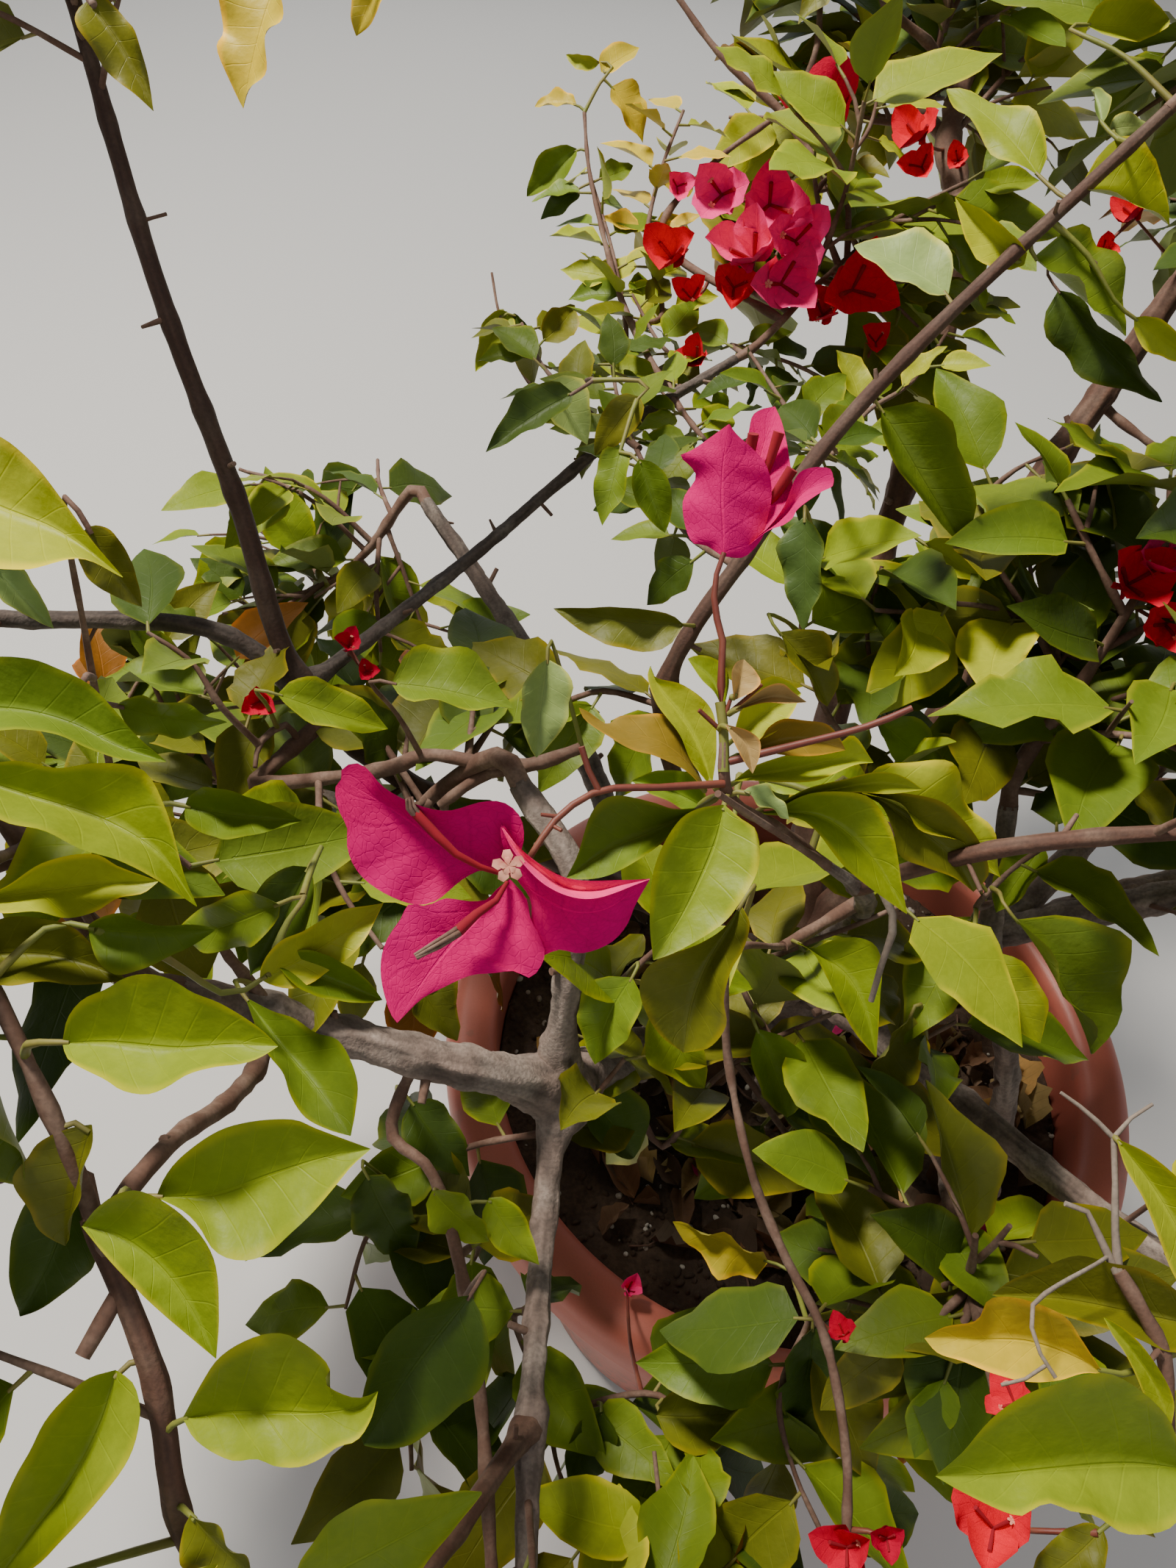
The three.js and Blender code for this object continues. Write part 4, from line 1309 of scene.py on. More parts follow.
class Growth:
    """All that grows on the woody frame: twigs, stalks, leaves and blooms."""

    REGIONS = ("front", "left", "right", "back")
    PETALS = 5
    OPEN_SHARE = 0.3

    def __init__(self) -> None:
        """Starts with bare limbs."""
        self.balls = Balls()
        self.twigs = TwigBin()
        self.stalks = TwigBin(6)
        self.red_stalks = TwigBin()
        self.dead_twigs = TwigBin()
        self.tubes = TwigBin()
        self.leaves = LeafBin("leaf", CutRange.LEAF, 4, 0.56, 71)
        self.bracts = LeafBin("bract", CutRange.BRACT, 6, 0.8, 83)
        self.near_leaves = MeshBin()
        self.near_bracts = MeshBin()
        self.petals = MeshBin()

    def leaf(
        self,
        stem: Points,
        foot: Points,
        along: Points,
        across: Points,
        length: float,
        tint: Points,
        dice: Dice,
    ) -> None:
        """Adds a leaf on a short stalk of its own.

        Args:
            stem: Where its stalk starts.
            foot: Where the leaf starts.
            along: Which way it points.
            across: Which way its width lies.
            length: Its length.
            tint: Its colour.
            dice: Dice for its cut.
        """
        self.leaves.add(foot, along, across, length, int(dice.roll(0, LeafBin.CUTS)), tint)
        self.stalks.add([stem, foot + along * 1.5], 0.75, 0.55)

    def star(self, place: Points, axis: Points, radius: float) -> None:
        """A small open flower with five petals."""
        across = side_of(axis, (0.1, 0.2, 0.0))
        for k in range(self.PETALS):
            spoke = turned(across, axis, 2 * math.pi * k / self.PETALS)
            side = np.cross(axis, spoke)
            tip = place + spoke * radius + axis * radius * 0.1
            middle = place + spoke * radius * 0.6 + axis * radius * 0.35
            heart = place + spoke * radius * 0.75 + axis * radius * 0.2
            wide, narrow = side * radius * 0.36, side * radius * 0.2
            verts = np.array([place, middle - wide, heart, middle + wide, tip - narrow, tip + narrow])
            faces = [np.array([[0, 1, 2, 3]]), np.array([[1, 4, 2], [2, 5, 3], [2, 4, 5]])]
            self.petals.add(verts, faces)

    def bloom(self, place: Points, axis: Points, size: float, spread: float, tone: Tone, dice: Dice) -> None:
        """A bloom of three bracts, each with its own flower tube.

        Args:
            place: Where the bracts meet.
            axis: Where the bloom points.
            size: Length of a bract.
            spread: How wide it opens.
            tone: Its colour.
            dice: Dice for its unevenness.
        """
        axis = unit(axis)
        across = side_of(axis, (0.07, 0.11, 0.0))
        start = dice.roll(0, 6)
        tint = shaded(tone, dice)
        for k in range(3):
            spoke = turned(across, axis, start + 2 * math.pi * k / 3 + dice.roll(-0.15, 0.15))
            along = unit(axis + spoke * spread * dice.roll(0.85, 1.15))
            side = unit(np.cross(along, axis))
            length = size * dice.roll(0.9, 1.08)
            self.bracts.add(place, along, side, length, int(dice.roll(0, LeafBin.CUTS)), tint)
            inner = unit(along + axis * 0.3)
            tube = [place, place + inner * length * 0.25, place + unit(along + axis * 0.22) * length * 0.5]
            self.tubes.add(tube, size * 0.028, size * 0.04)
            if dice.roll(0, 1) < self.OPEN_SHARE:
                self.star(tube[-1], inner, size * 0.075)


@dataclass
class LeafyMass:
    """A mass of leafy shoots, grown by the source's rule on to finer twigs and life-size leaves."""

    name: str
    bough: str
    heart: Place
    reach: Place
    seed: int
    blooms: int
    region: str
    flower: Tone = Tone.MAGENTA
    tones: tuple[Tone, ...] = CROWN_MIX
    shoots: int = 8
    more_shoots: int = 7
    unseen_shoots: int = 14
    leaf_length: float = 50.0
    centres: list[Points] = field(default_factory=list)
    unseen: bool = False
    most_leaves: int = 11
    leaf_room: float = 10.5
    shoot_reach: float = 190.0
    twig_reach: float = 120.0
    stride: float = 6.0

    def in_space(self, place: Points) -> bool:
        """Whether a place lies in the mass's ellipsoid and on its side of its neighbours."""
        away = place - np.array(self.heart)
        if np.sum((away / np.array(self.reach)) ** 2) > 1:
            return False
        return not len(self.walls) or bool(np.all(self.walls @ away < self.halves))

    def know_neighbours(self, others: Iterable["LeafyMass"]) -> None:
        """Finds the planes half way to the hearts of the other masses."""
        gaps = [np.array(other.heart, float) - np.array(self.heart) for other in others if other is not self]
        self.walls = np.array([unit(gap) for gap in gaps])
        self.halves = np.array([np.linalg.norm(gap) / 2 - 0.6 for gap in gaps])

    def fits(self, places: Points, balls: Balls, room: float) -> bool:
        """Whether a shape keeps to the space, to the open view and clear of limbs."""
        if not all(self.in_space(place) and clear_of_planter(place) for place in places):
            return False
        away = np.linalg.norm(balls.centres[None] - places[:, None], axis=2) - balls.radii[None]
        open_view = out_of_picture(places) if self.unseen else keeps_view_open(places)
        return open_view and bool(np.all(away > room))

    def room_ahead(self, start: Points, way: Points, most: float) -> float:
        """How far a straight way stays in the space."""
        far = 0.0
        while far < most and self.in_space(start + way * (far + self.stride)):
            far += self.stride
        return far

    def dress(
        self, path: Path, start: float, growth: Growth, tone: Tone, dice: Dice, spacing: float = 14.0
    ) -> None:
        """Sets leaves on alternate sides of a twig, from a share of its length to its tip.

        Args:
            path: The twig.
            start: Share of the length that stays bare.
            growth: Where the leaves go.
            tone: The spray's colour.
            dice: The mass's dice.
            spacing: Distance between leaves.
        """
        leafy = path.length * (1 - start)
        count = max(1, min(self.most_leaves, int(leafy / spacing)))
        turn = dice.roll(0, 6)
        for i in range(count + 1):
            share = min(start + (1 - start) * i / count, 0.985)
            way = path.way(share)
            out = turned(side_of(way), way, turn + i * LEAF_TURN)
            out[2] *= 0.55
            tip_leaf = i == count
            onward, outward = (1.2, 0.2) if tip_leaf else (0.5, 0.9)
            along = unit(way * onward + out * outward + UP * dice.roll(-0.34, 0.06))
            across = turned(side_of(along, LEAF_NUDGE), along, dice.roll(-0.55, 0.55))
            size = self.leaf_length * dice.roll(0.72, 1.2) * (0.75 if tip_leaf else 1.0)
            young = tip_leaf and dice.roll(0, 1) < 0.16
            tint = shaded(Tone.BRONZE if young else tone, dice)
            foot = path.at(share) + along * dice.roll(5, 9)
            middle, tip = foot + along * size * 0.45, foot + along * size
            corners = np.array([middle, tip, middle + across * size * 0.26, middle - across * size * 0.26])
            crowd = any(np.linalg.norm(middle - other) < self.leaf_room for other in self.centres)
            if crowd or not self.fits(corners, growth.balls, 4.0):
                continue
            self.centres.append(middle)
            growth.leaf(path.at(share), foot, along, across, size, tint, dice)

    def grow(self, growth: Growth) -> None:
        """Grows the stem, its shoots, their side twigs, the leaves and the blooms."""
        bough = BOUGH[self.bough].path
        heart = np.array(self.heart, float)
        start = bough.at(0.995)
        lead = start + bough.way(1.0) * 12
        onward = unit(heart - start)
        beyond = self.room_ahead(heart, onward, 80) * 0.8
        dice, fine = Dice(self.seed), Dice(self.seed + 500)
        places = [start, lead, heart, heart + onward * beyond]
        stem = growth.twigs.add(places, BOUGH[self.bough].tip, 0.7, 0.3, 8.0)
        growth.balls.carry(stem)
        self.dress(stem, 0.42, growth, fine.pick(self.tones), fine)
        tips = []
        for k in range(self.shoots + self.more_shoots):
            extra = k >= self.shoots
            share = (k - self.shoots + 0.5) / self.more_shoots if extra else k / (self.shoots - 1)
            tips += self.shoot(stem, onward, share, k, fine if extra else dice, growth, fine)
        tips.sort(key=lambda pair: -pair[0][2])
        for tip, way in tips[: self.blooms + 1 if self.blooms else 0]:
            for k in range(2):
                aside = [fine.roll(-0.7, 0.7), fine.roll(-0.7, 0.7), fine.roll(0.2, 0.9)]
                around = unit(way + np.array(aside))
                place = tip + around * fine.roll(9, 16)
                x, y, _ = VIEW.shown(place)[0]
                if inside(BLOOMS_LEFT_OUT, x, y):
                    continue
                if self.fits(np.array([place, place + around * 30]), growth.balls, 6.0):
                    growth.stalks.add([tip, place], 0.8, 0.6)
                    growth.bloom(place, around, fine.roll(31, 40), fine.roll(0.6, 1.1), self.flower, fine)
        self.unseen = True
        dice = Dice(self.seed + 900)
        for k in range(self.unseen_shoots):
            self.shoot(stem, onward, (k + 0.3) / self.unseen_shoots, k + 40, dice, growth, dice)

    def shoot(
        self, stem: Path, onward: Points, share: float, number: int, rolls: Dice, growth: Growth, fine: Dice
    ) -> list[tuple[Points, Points]]:
        """Grows one shoot off the stem, with its side twigs and leaves.

        Args:
            stem: The mass's stem.
            onward: The direction of the stem.
            share: How far along the stem's leafy part the shoot starts.
            number: The shoot's number, which turns it round the stem.
            rolls: Dice for its direction and length.
            growth: Where it goes.
            fine: Dice for all that is finer.

        Returns:
            The tip and the direction there, or nothing where no shoot fits.
        """
        sideways = unit(np.cross(onward, UP))
        foot = stem.at(0.22 + 0.72 * share)
        turn = number * GOLDEN_ANGLE + rolls.roll(-0.35, 0.35)
        way = unit(turned(sideways, onward, turn) + onward * (0.35 + 0.5 * share) + UP * 0.15)
        room = self.room_ahead(foot, way, self.shoot_reach)
        length = room * rolls.roll(0.88, 0.98) - self.leaf_length * 0.75
        if length < 11:
            return []
        sag = unit(np.cross(way, turned(sideways, onward, turn + 1.5)))
        tip = foot + way * length
        middle = (foot + tip) / 2 + sag * length * fine.roll(-0.1, 0.1) + UP * length * 0.05
        places = [foot, middle, tip] if self.unseen else [middle, tip]
        if not self.fits(np.array(places), growth.balls, 2.0):
            return []
        tone = fine.pick(self.tones)
        shoot = growth.twigs.add([foot, middle, tip], 1.7, 1.0, 0.3, 9.0)
        self.dress(shoot, 0.25, growth, tone, fine)
        self.side_twigs(shoot, growth, tone, fine)
        return [(tip, shoot.way(1.0))]

    def side_twigs(self, shoot: Path, growth: Growth, tone: Tone, dice: Dice) -> None:
        """Finer twigs on alternate sides of a shoot, each with leaves of its own."""
        count = int(shoot.length / 25)
        for i in range(count):
            share = (i + dice.roll(0.5, 0.9)) / count
            foot, way = shoot.at(share), shoot.way(share)
            out = turned(side_of(way), way, i * math.pi + dice.roll(-0.9, 0.9))
            lean = unit(way * 0.6 + out * 0.8 + UP * dice.roll(-0.1, 0.25))
            room = self.room_ahead(foot, lean, self.twig_reach) - self.leaf_length * 0.8
            length = min(room, dice.roll(22, 58))
            if length < 10:
                continue
            tip = foot + lean * length
            if not self.fits(np.array([foot + lean * length / 2, tip]), growth.balls, 2.0):
                continue
            twig = growth.twigs.add([foot, (foot + tip) / 2 + UP * 2, tip], 1.1, 0.7, 0.2, 9.0)
            self.dress(twig, 0.3, growth, tone, dice, 12.0)


MASSES = (
    LeafyMass("front_spray_leaves", "centre_bough", (-64, -128, 622), (152, 104, 108), 11, 1, "front"),
    LeafyMass("left_front_leaves", "left_front_cane", (-276, -240, 602), (124, 134, 122), 23, 1, "left"),
    LeafyMass("left_near_leaves", "left_bough", (-292, -108, 598), (112, 104, 124), 37, 1, "left"),
    LeafyMass("left_leaves", "left_branch", (-398, -36, 566), (92, 150, 150), 41, 2, "left"),
    LeafyMass("front_low_leaves", "front_bough", (-96, -286, 418), (150, 112, 112), 53, 1, "front"),
    LeafyMass("left_inner_leaves", "inner_bough", (-196, -26, 478), (112, 92, 92), 67, 0, "left",
        tones=SHADE_MIX),
    LeafyMass("left_top_leaves", "left_cane", (-318, 150, 748), (126, 122, 108), 71, 2, "back"),
    LeafyMass("back_centre_leaves", "crossing_cane", (-36, 244, 580), (124, 134, 124), 83, 4, "back",
        Tone.RED, RED_MIX),
    LeafyMass("top_leaves", "rising_cane", (82, 128, 736), (146, 140, 112), 97, 2, "back"),
    LeafyMass("back_right_leaves", "back_right_bough", (200, 306, 606), (150, 150, 140), 101, 3, "right",
        Tone.RED, RED_MIX),
    LeafyMass("back_leaves", "back_bough", (20, 404, 610), (150, 118, 146), 113, 2, "back", Tone.RED),
    LeafyMass("centre_right_leaves", "right_stem", (58, 14, 568), (104, 110, 104), 127, 0, "right",
        tones=SHADE_MIX),
    LeafyMass("right_leaves", "right_bough", (332, -30, 574), (140, 146, 140), 131, 2, "right"),
    LeafyMass("front_right_leaves", "front_right_bough", (168, -232, 486), (146, 134, 124), 149, 2,
        "front"),
    LeafyMass("right_top_leaves", "right_cane", (166, -116, 666), (140, 130, 106), 151, 2, "front"),
    LeafyMass("back_left_leaves", "back_left_bough", (-262, 226, 404), (140, 134, 92), 163, 1, "back"),
    LeafyMass("right_back_leaves", "right_back_bough", (316, 176, 604), (140, 126, 136), 173, 1, "right"),
    LeafyMass("pot_front_leaves", "low_front_bough", (26, -156, 446), (92, 84, 84), 181, 0, "front",
        tones=SHADE_MIX),
    LeafyMass("left_low_leaves", "left_low_bough", (-300, 50, 400), (118, 112, 96), 191, 0, "left",
        tones=SHADE_MIX),
    LeafyMass("right_low_leaves", "right_low_bough", (282, 74, 424), (130, 128, 100), 197, 1, "right",
        tones=SHADE_MIX),
)  # fmt: skip


class Sprig(Enum):
    """Kinds of stem that show near the camera, by where they are gathered."""

    WOOD = "twigs"
    GREEN = "stalks"
    RED = "red_stalks"
    DEAD = "dead_twigs"


# Kind, radius at the foot and at the tip, and path of each stem, in pixels with a depth in millimetres
SEEN_STEMS = (
    # The stem of the front spray with its whorl of leaves, and the stalks of the two blooms
    (Sprig.WOOD, 1.5, 1.3, ((1125, 1177, 308), (1062, 1128, 288), (1004, 1096, 270), (986, 1070, 263),
        (985, 1010, 262))),
    (Sprig.GREEN, 1.3, 1.15, ((985, 1050, 262), (985, 1000, 262), (980, 955, 262))),
    (Sprig.RED, 0.95, 0.62, ((980, 975, 262), (982, 905, 262), (983, 869, 262), (974, 835, 262),
        (972, 794, 262), (985, 752, 262))),
    (Sprig.RED, 0.9, 0.75, ((985, 1066, 262), (900, 1071, 258), (815, 1076, 255), (760, 1111, 252),
        (724, 1161, 250), (704, 1196, 251))),
    (Sprig.RED, 0.8, 0.7, ((815, 1076, 255), (800, 1046, 254), (791, 1016, 253))),
    (Sprig.RED, 0.5, 0.4, ((760, 1111, 252), (736, 1108, 251))),
    (Sprig.RED, 0.5, 0.4, ((748, 1121, 252), (764, 1130, 250))),
    (Sprig.RED, 0.9, 0.75, ((992, 1036, 262), (1080, 1014, 260), (1160, 994, 258), (1200, 981, 257),
        (1241, 963, 256))),
    (Sprig.RED, 0.6, 0.5, ((979, 992, 262), (951, 966, 260))),
    (Sprig.RED, 0.55, 0.4, ((986, 975, 262), (995, 948, 261))),
    (Sprig.RED, 0.55, 0.4, ((990, 972, 262), (1037, 931, 260))),
    # Wood in the middle of the crown
    (Sprig.WOOD, 3.1, 2.5, ((345, 1069, 432), (363, 1067, 430), (450, 1058, 428), (533, 1044, 425),
        (581, 1027, 420), (669, 1040, 415), (724, 1040, 410), (792, 1017, 405))),
    (Sprig.WOOD, 2.5, 1.9, ((724, 1040, 410), (698, 1046, 412), (657, 1055, 418), (598, 1096, 422))),
    (Sprig.WOOD, 1.5, 1.1, ((388, 986, 440), (354, 1010, 435), (347, 1044, 430))),
    (Sprig.WOOD, 2.4, 2.2, ((1165, 1229, 405), (1110, 1262, 395), (1066, 1287, 385))),
    (Sprig.WOOD, 1.1, 1.5, ((993, 1300, 352), (987, 1393, 358), (993, 1458, 362), (1024, 1600, 360),
        (1067, 1707, 355), (1120, 1813, 350), (1152, 1984, 345), (1152, 2080, 340))),
    (Sprig.DEAD, 1.2, 0.9, ((1216, 1253, 330), (1200, 1310, 332), (1185, 1362, 335))),
    (Sprig.WOOD, 2.2, 2.0, ((533, 1543, 398), (584, 1590, 390), (621, 1702, 380), (652, 1889, 365),
        (669, 2134, 345))),
    # Wood near the camera on the left
    (Sprig.WOOD, 3.2, 2.0, ((358, 1385, 374), (354, 1444, 340), (306, 1502, 305), (245, 1543, 275),
        (190, 1600, 248), (135, 1665, 238))),
    (Sprig.WOOD, 1.5, 1.2, ((240, 1546, 272), (232, 1552, 268), (222, 1550, 264))),
    (Sprig.WOOD, 1.5, 1.9, ((-70, 1240, 240), (0, 1366, 236), (51, 1475, 236), (110, 1610, 240),
        (155, 1730, 249))),
    (Sprig.WOOD, 2.0, 1.8, ((165, 1752, 247), (146, 1786, 244), (112, 1845, 240))),
    (Sprig.WOOD, 2.2, 1.5, ((366, 1372, 376), (337, 1332, 368), (300, 1284, 352), (293, 1236, 338))),
    # Wood near the camera on the right
    (Sprig.WOOD, 3.0, 1.6, ((1844, 1861, 366), (1730, 1985, 312), (1640, 2010, 278), (1590, 1965, 264),
        (1584, 1845, 262), (1545, 1768, 263), (1522, 1729, 264))),
    (Sprig.DEAD, 0.95, 0.55, ((1524, 1742, 264), (1500, 1692, 265), (1476, 1645, 266), (1449, 1637, 266))),
    (Sprig.DEAD, 1.0, 0.65, ((1524, 1736, 264), (1518, 1690, 265), (1517, 1600, 266), (1515, 1546, 268))),
    (Sprig.DEAD, 0.6, 0.4, ((1515, 1548, 268), (1482, 1515, 269), (1443, 1486, 270))),
    (Sprig.DEAD, 0.6, 0.4, ((1515, 1548, 268), (1540, 1520, 269), (1568, 1502, 270))),
    (Sprig.WOOD, 0.8, 0.6, ((1584, 1850, 262), (1578, 1836, 260), (1556, 1862, 258))),
    (Sprig.DEAD, 0.4, 0.5, ((1400, 1787, 244), (1410, 1822, 242), (1422, 1858, 241), (1436, 1874, 240))),
    (Sprig.DEAD, 0.5, 0.35, ((1422, 1858, 241), (1395, 1876, 240), (1362, 1884, 240))),
    # Wood at the back
    (Sprig.WOOD, 2.4, 1.8, ((1509, 560, 560), (1560, 600, 556), (1640, 660, 552))),
    (Sprig.WOOD, 6.6, 5.4, ((1300, 262, 619), (1290, 200, 620), (1298, 153, 622), (1318, 78, 626),
        (1359, 0, 630), (1384, -60, 634))),
    (Sprig.WOOD, 3.0, 2.2, ((1298, 118, 623), (1270, 66, 610), (1230, 31, 605), (1172, -10, 600))),
    (Sprig.WOOD, 3.0, 1.8, ((1230, 440, 620), (1141, 279, 612), (1110, 221, 610), (1057, 146, 610),
        (1017, 112, 608), (969, 61, 605), (918, -10, 600))),
    (Sprig.WOOD, 1.9, 1.5, ((900, 320, 585), (972, 221, 600), (1066, 150, 604), (1086, 126, 604),
        (1110, 68, 606), (1117, -10, 610))),
    (Sprig.WOOD, 2.0, 1.0, ((905, 520, 553), (850, 420, 575), (816, 300, 590), (800, 220, 598),
        (795, 153, 600))),
    (Sprig.WOOD, 1.3, 0.7, ((825, 590, 545), (720, 520, 585), (680, 430, 598), (669, 371, 600))),
)  # fmt: skip

# Foot, tip, half width on the right and on the left in pixels, depth and tone of each leaf
# Lighter tones go to leaves that lie in light and DARK to leaves in shade: painted light and painted shade
# over the leaves' own tones.
SEEN_LEAVES = (
    # Whorl on the front spray's stem
    ((1165, 1070), (1395, 1180), 24, 56, 304, Tone.LIME),
    ((1012, 1076), (1080, 1108), 12, 14, 262, Tone.PALE),
    ((1040, 1060), (1290, 1100), 20, 46, 320, Tone.BRIGHT),
    ((960, 1100), (860, 1060), 26, 20, 300, Tone.GREEN),
    # Left edge, near the camera
    ((119, 717), (191, 826), 30, 34, 240, Tone.OLIVE), ((-10, 771), (73, 850), 24, 24, 240, Tone.PALE),
    ((160, 960), (303, 989), 22, 30, 245, Tone.GREEN), ((120, 1262), (283, 1280), 34, 38, 238, Tone.GREEN),
    ((125, 1530), (68, 1700), 46, 40, 238, Tone.OLIVE), ((100, 1600), (20, 1810), 60, 56, 250, Tone.DARK),
    ((-20, 1424), (46, 1640), 36, 44, 240, Tone.GREEN), ((354, 1332), (526, 1240), 26, 44, 262, Tone.LIME),
    ((378, 1306), (521, 1362), 22, 34, 264, Tone.GREEN),
    ((252, 1097), (405, 1117), 30, 34, 300, Tone.GREEN), ((70, 2160), (290, 2150), 40, 46, 235, Tone.LIME),
    ((260, 2060), (345, 2170), 34, 30, 240, Tone.OLIVE),
    ((409, 2160), (659, 2040), 60, 70, 245, Tone.BRIGHT),
    ((380, 1230), (215, 1290), 40, 34, 300, Tone.GREEN), ((420, 1180), (330, 1330), 40, 40, 320, Tone.DARK),
    ((120, 0), (207, 146), 40, 24, 300, Tone.OLIVE), ((380, -30), (309, 122), 46, 34, 300, Tone.YELLOW),
    ((524, -40), (480, 44), 24, 24, 310, Tone.YELLOW),
    # Behind the blooms
    ((533, 930), (700, 960), 30, 54, 380, Tone.GREEN), ((745, 897), (735, 1030), 34, 34, 385, Tone.PALE),
    ((378, 945), (531, 983), 26, 34, 400, Tone.BRIGHT), ((930, 850), (751, 830), 20, 38, 385, Tone.OLIVE),
    ((780, 535), (660, 610), 30, 22, 420, Tone.DARK), ((745, 520), (800, 600), 30, 34, 430, Tone.PALE),
    ((870, 540), (808, 618), 26, 24, 420, Tone.OLIVE), ((845, 610), (815, 708), 24, 22, 415, Tone.GREEN),
    ((870, 625), (905, 725), 24, 26, 410, Tone.GREEN), ((1095, 705), (1090, 858), 32, 28, 420, Tone.BLUE),
    ((1258, 740), (1335, 792), 18, 26, 440, Tone.LIME), ((1200, 790), (1298, 910), 40, 44, 450, Tone.DARK),
    ((1222, 930), (1325, 935), 28, 32, 450, Tone.DARK),
    ((1195, 980), (1315, 1067), 28, 32, 430, Tone.GREEN),
    ((1199, 557), (1325, 745), 30, 60, 400, Tone.GREEN),
    ((1060, 860), (1130, 960), 26, 30, 400, Tone.OLIVE),
    # Small shoots at the back
    ((816, 85), (766, 78), 10, 12, 600, Tone.LIME), ((818, 98), (870, 56), 16, 20, 600, Tone.YELLOW),
    ((832, 118), (882, 184), 20, 22, 600, Tone.YELLOW), ((784, 142), (727, 136), 10, 12, 600, Tone.YELLOW),
    ((785, 203), (714, 264), 24, 20, 600, Tone.GREEN), ((788, 256), (734, 292), 16, 14, 600, Tone.DARK),
    ((690, 424), (650, 504), 22, 20, 600, Tone.LIME), ((700, 426), (724, 502), 15, 16, 600, Tone.DARK),
    # Upper right, on the long cane
    ((1413, 240), (1298, 88), 40, 30, 375, Tone.BRIGHT), ((1393, 360), (1298, 272), 30, 26, 375, Tone.LIME),
    ((1290, 400), (1165, 327), 42, 36, 380, Tone.PALE), ((1406, 351), (1543, 446), 26, 46, 372, Tone.GREEN),
    ((1468, 258), (1610, 285), 20, 62, 368, Tone.LIME), ((1498, 170), (1488, 116), 10, 12, 372, Tone.PALE),
    ((1509, 176), (1580, 172), 18, 20, 374, Tone.PALE), ((1478, 34), (1610, 22), 24, 38, 375, Tone.LIME),
    ((1543, 432), (1620, 492), 20, 26, 375, Tone.LIME), ((1440, 395), (1560, 560), 40, 34, 480, Tone.DARK),
    # Under the main bloom and over the pot
    ((640, 1762), (500, 1990), 66, 72, 330, Tone.DARK),
    ((588, 1620), (657, 1702), 28, 32, 380, Tone.BRIGHT),
    ((665, 1630), (734, 1722), 28, 30, 385, Tone.BRIGHT),
    ((1044, 1716), (914, 1672), 16, 34, 440, Tone.YELLOW),
    ((893, 1925), (1024, 1918), 44, 46, 420, Tone.OLIVE),
    ((1383, 1252), (1526, 1434), 44, 52, 400, Tone.GREEN),
    ((1338, 1298), (1427, 1420), 30, 34, 420, Tone.LIME),
    ((1541, 1072), (1600, 1130), 22, 26, 420, Tone.OLIVE),
    ((1212, 1953), (1291, 1994), 20, 20, 420, Tone.BRONZE),
    ((860, 1330), (800, 1450), 40, 44, 400, Tone.GREEN),
    ((900, 1360), (960, 1490), 40, 36, 410, Tone.BRIGHT),
    ((1030, 1400), (1080, 1530), 34, 38, 410, Tone.GREEN),
    ((790, 1480), (880, 1580), 40, 42, 440, Tone.DARK),
    ((1240, 1380), (1180, 1500), 28, 30, 430, Tone.OLIVE),
    ((1420, 1150), (1350, 1240), 26, 30, 430, Tone.GREEN),
    ((560, 1500), (640, 1600), 40, 36, 440, Tone.DARK), ((500, 1600), (560, 1720), 44, 40, 430, Tone.DARK),
    ((820, 1920), (780, 2040), 32, 30, 420, Tone.DARK),
    ((1060, 1980), (1000, 2100), 34, 30, 420, Tone.OLIVE),
    # Lower right, near the camera
    ((1500, 2080), (1400, 2160), 40, 44, 300, Tone.OLIVE),
)  # fmt: skip
# Tones for sprays that lie in shade and in light: painted shade and painted light.
SHADED = (Tone.DARK, Tone.GREEN, Tone.OLIVE)
SUNLIT = (Tone.GREEN, Tone.BRIGHT, Tone.OLIVE)
SMALL_LEAF, FULL_LEAF = 27.0, 47.0
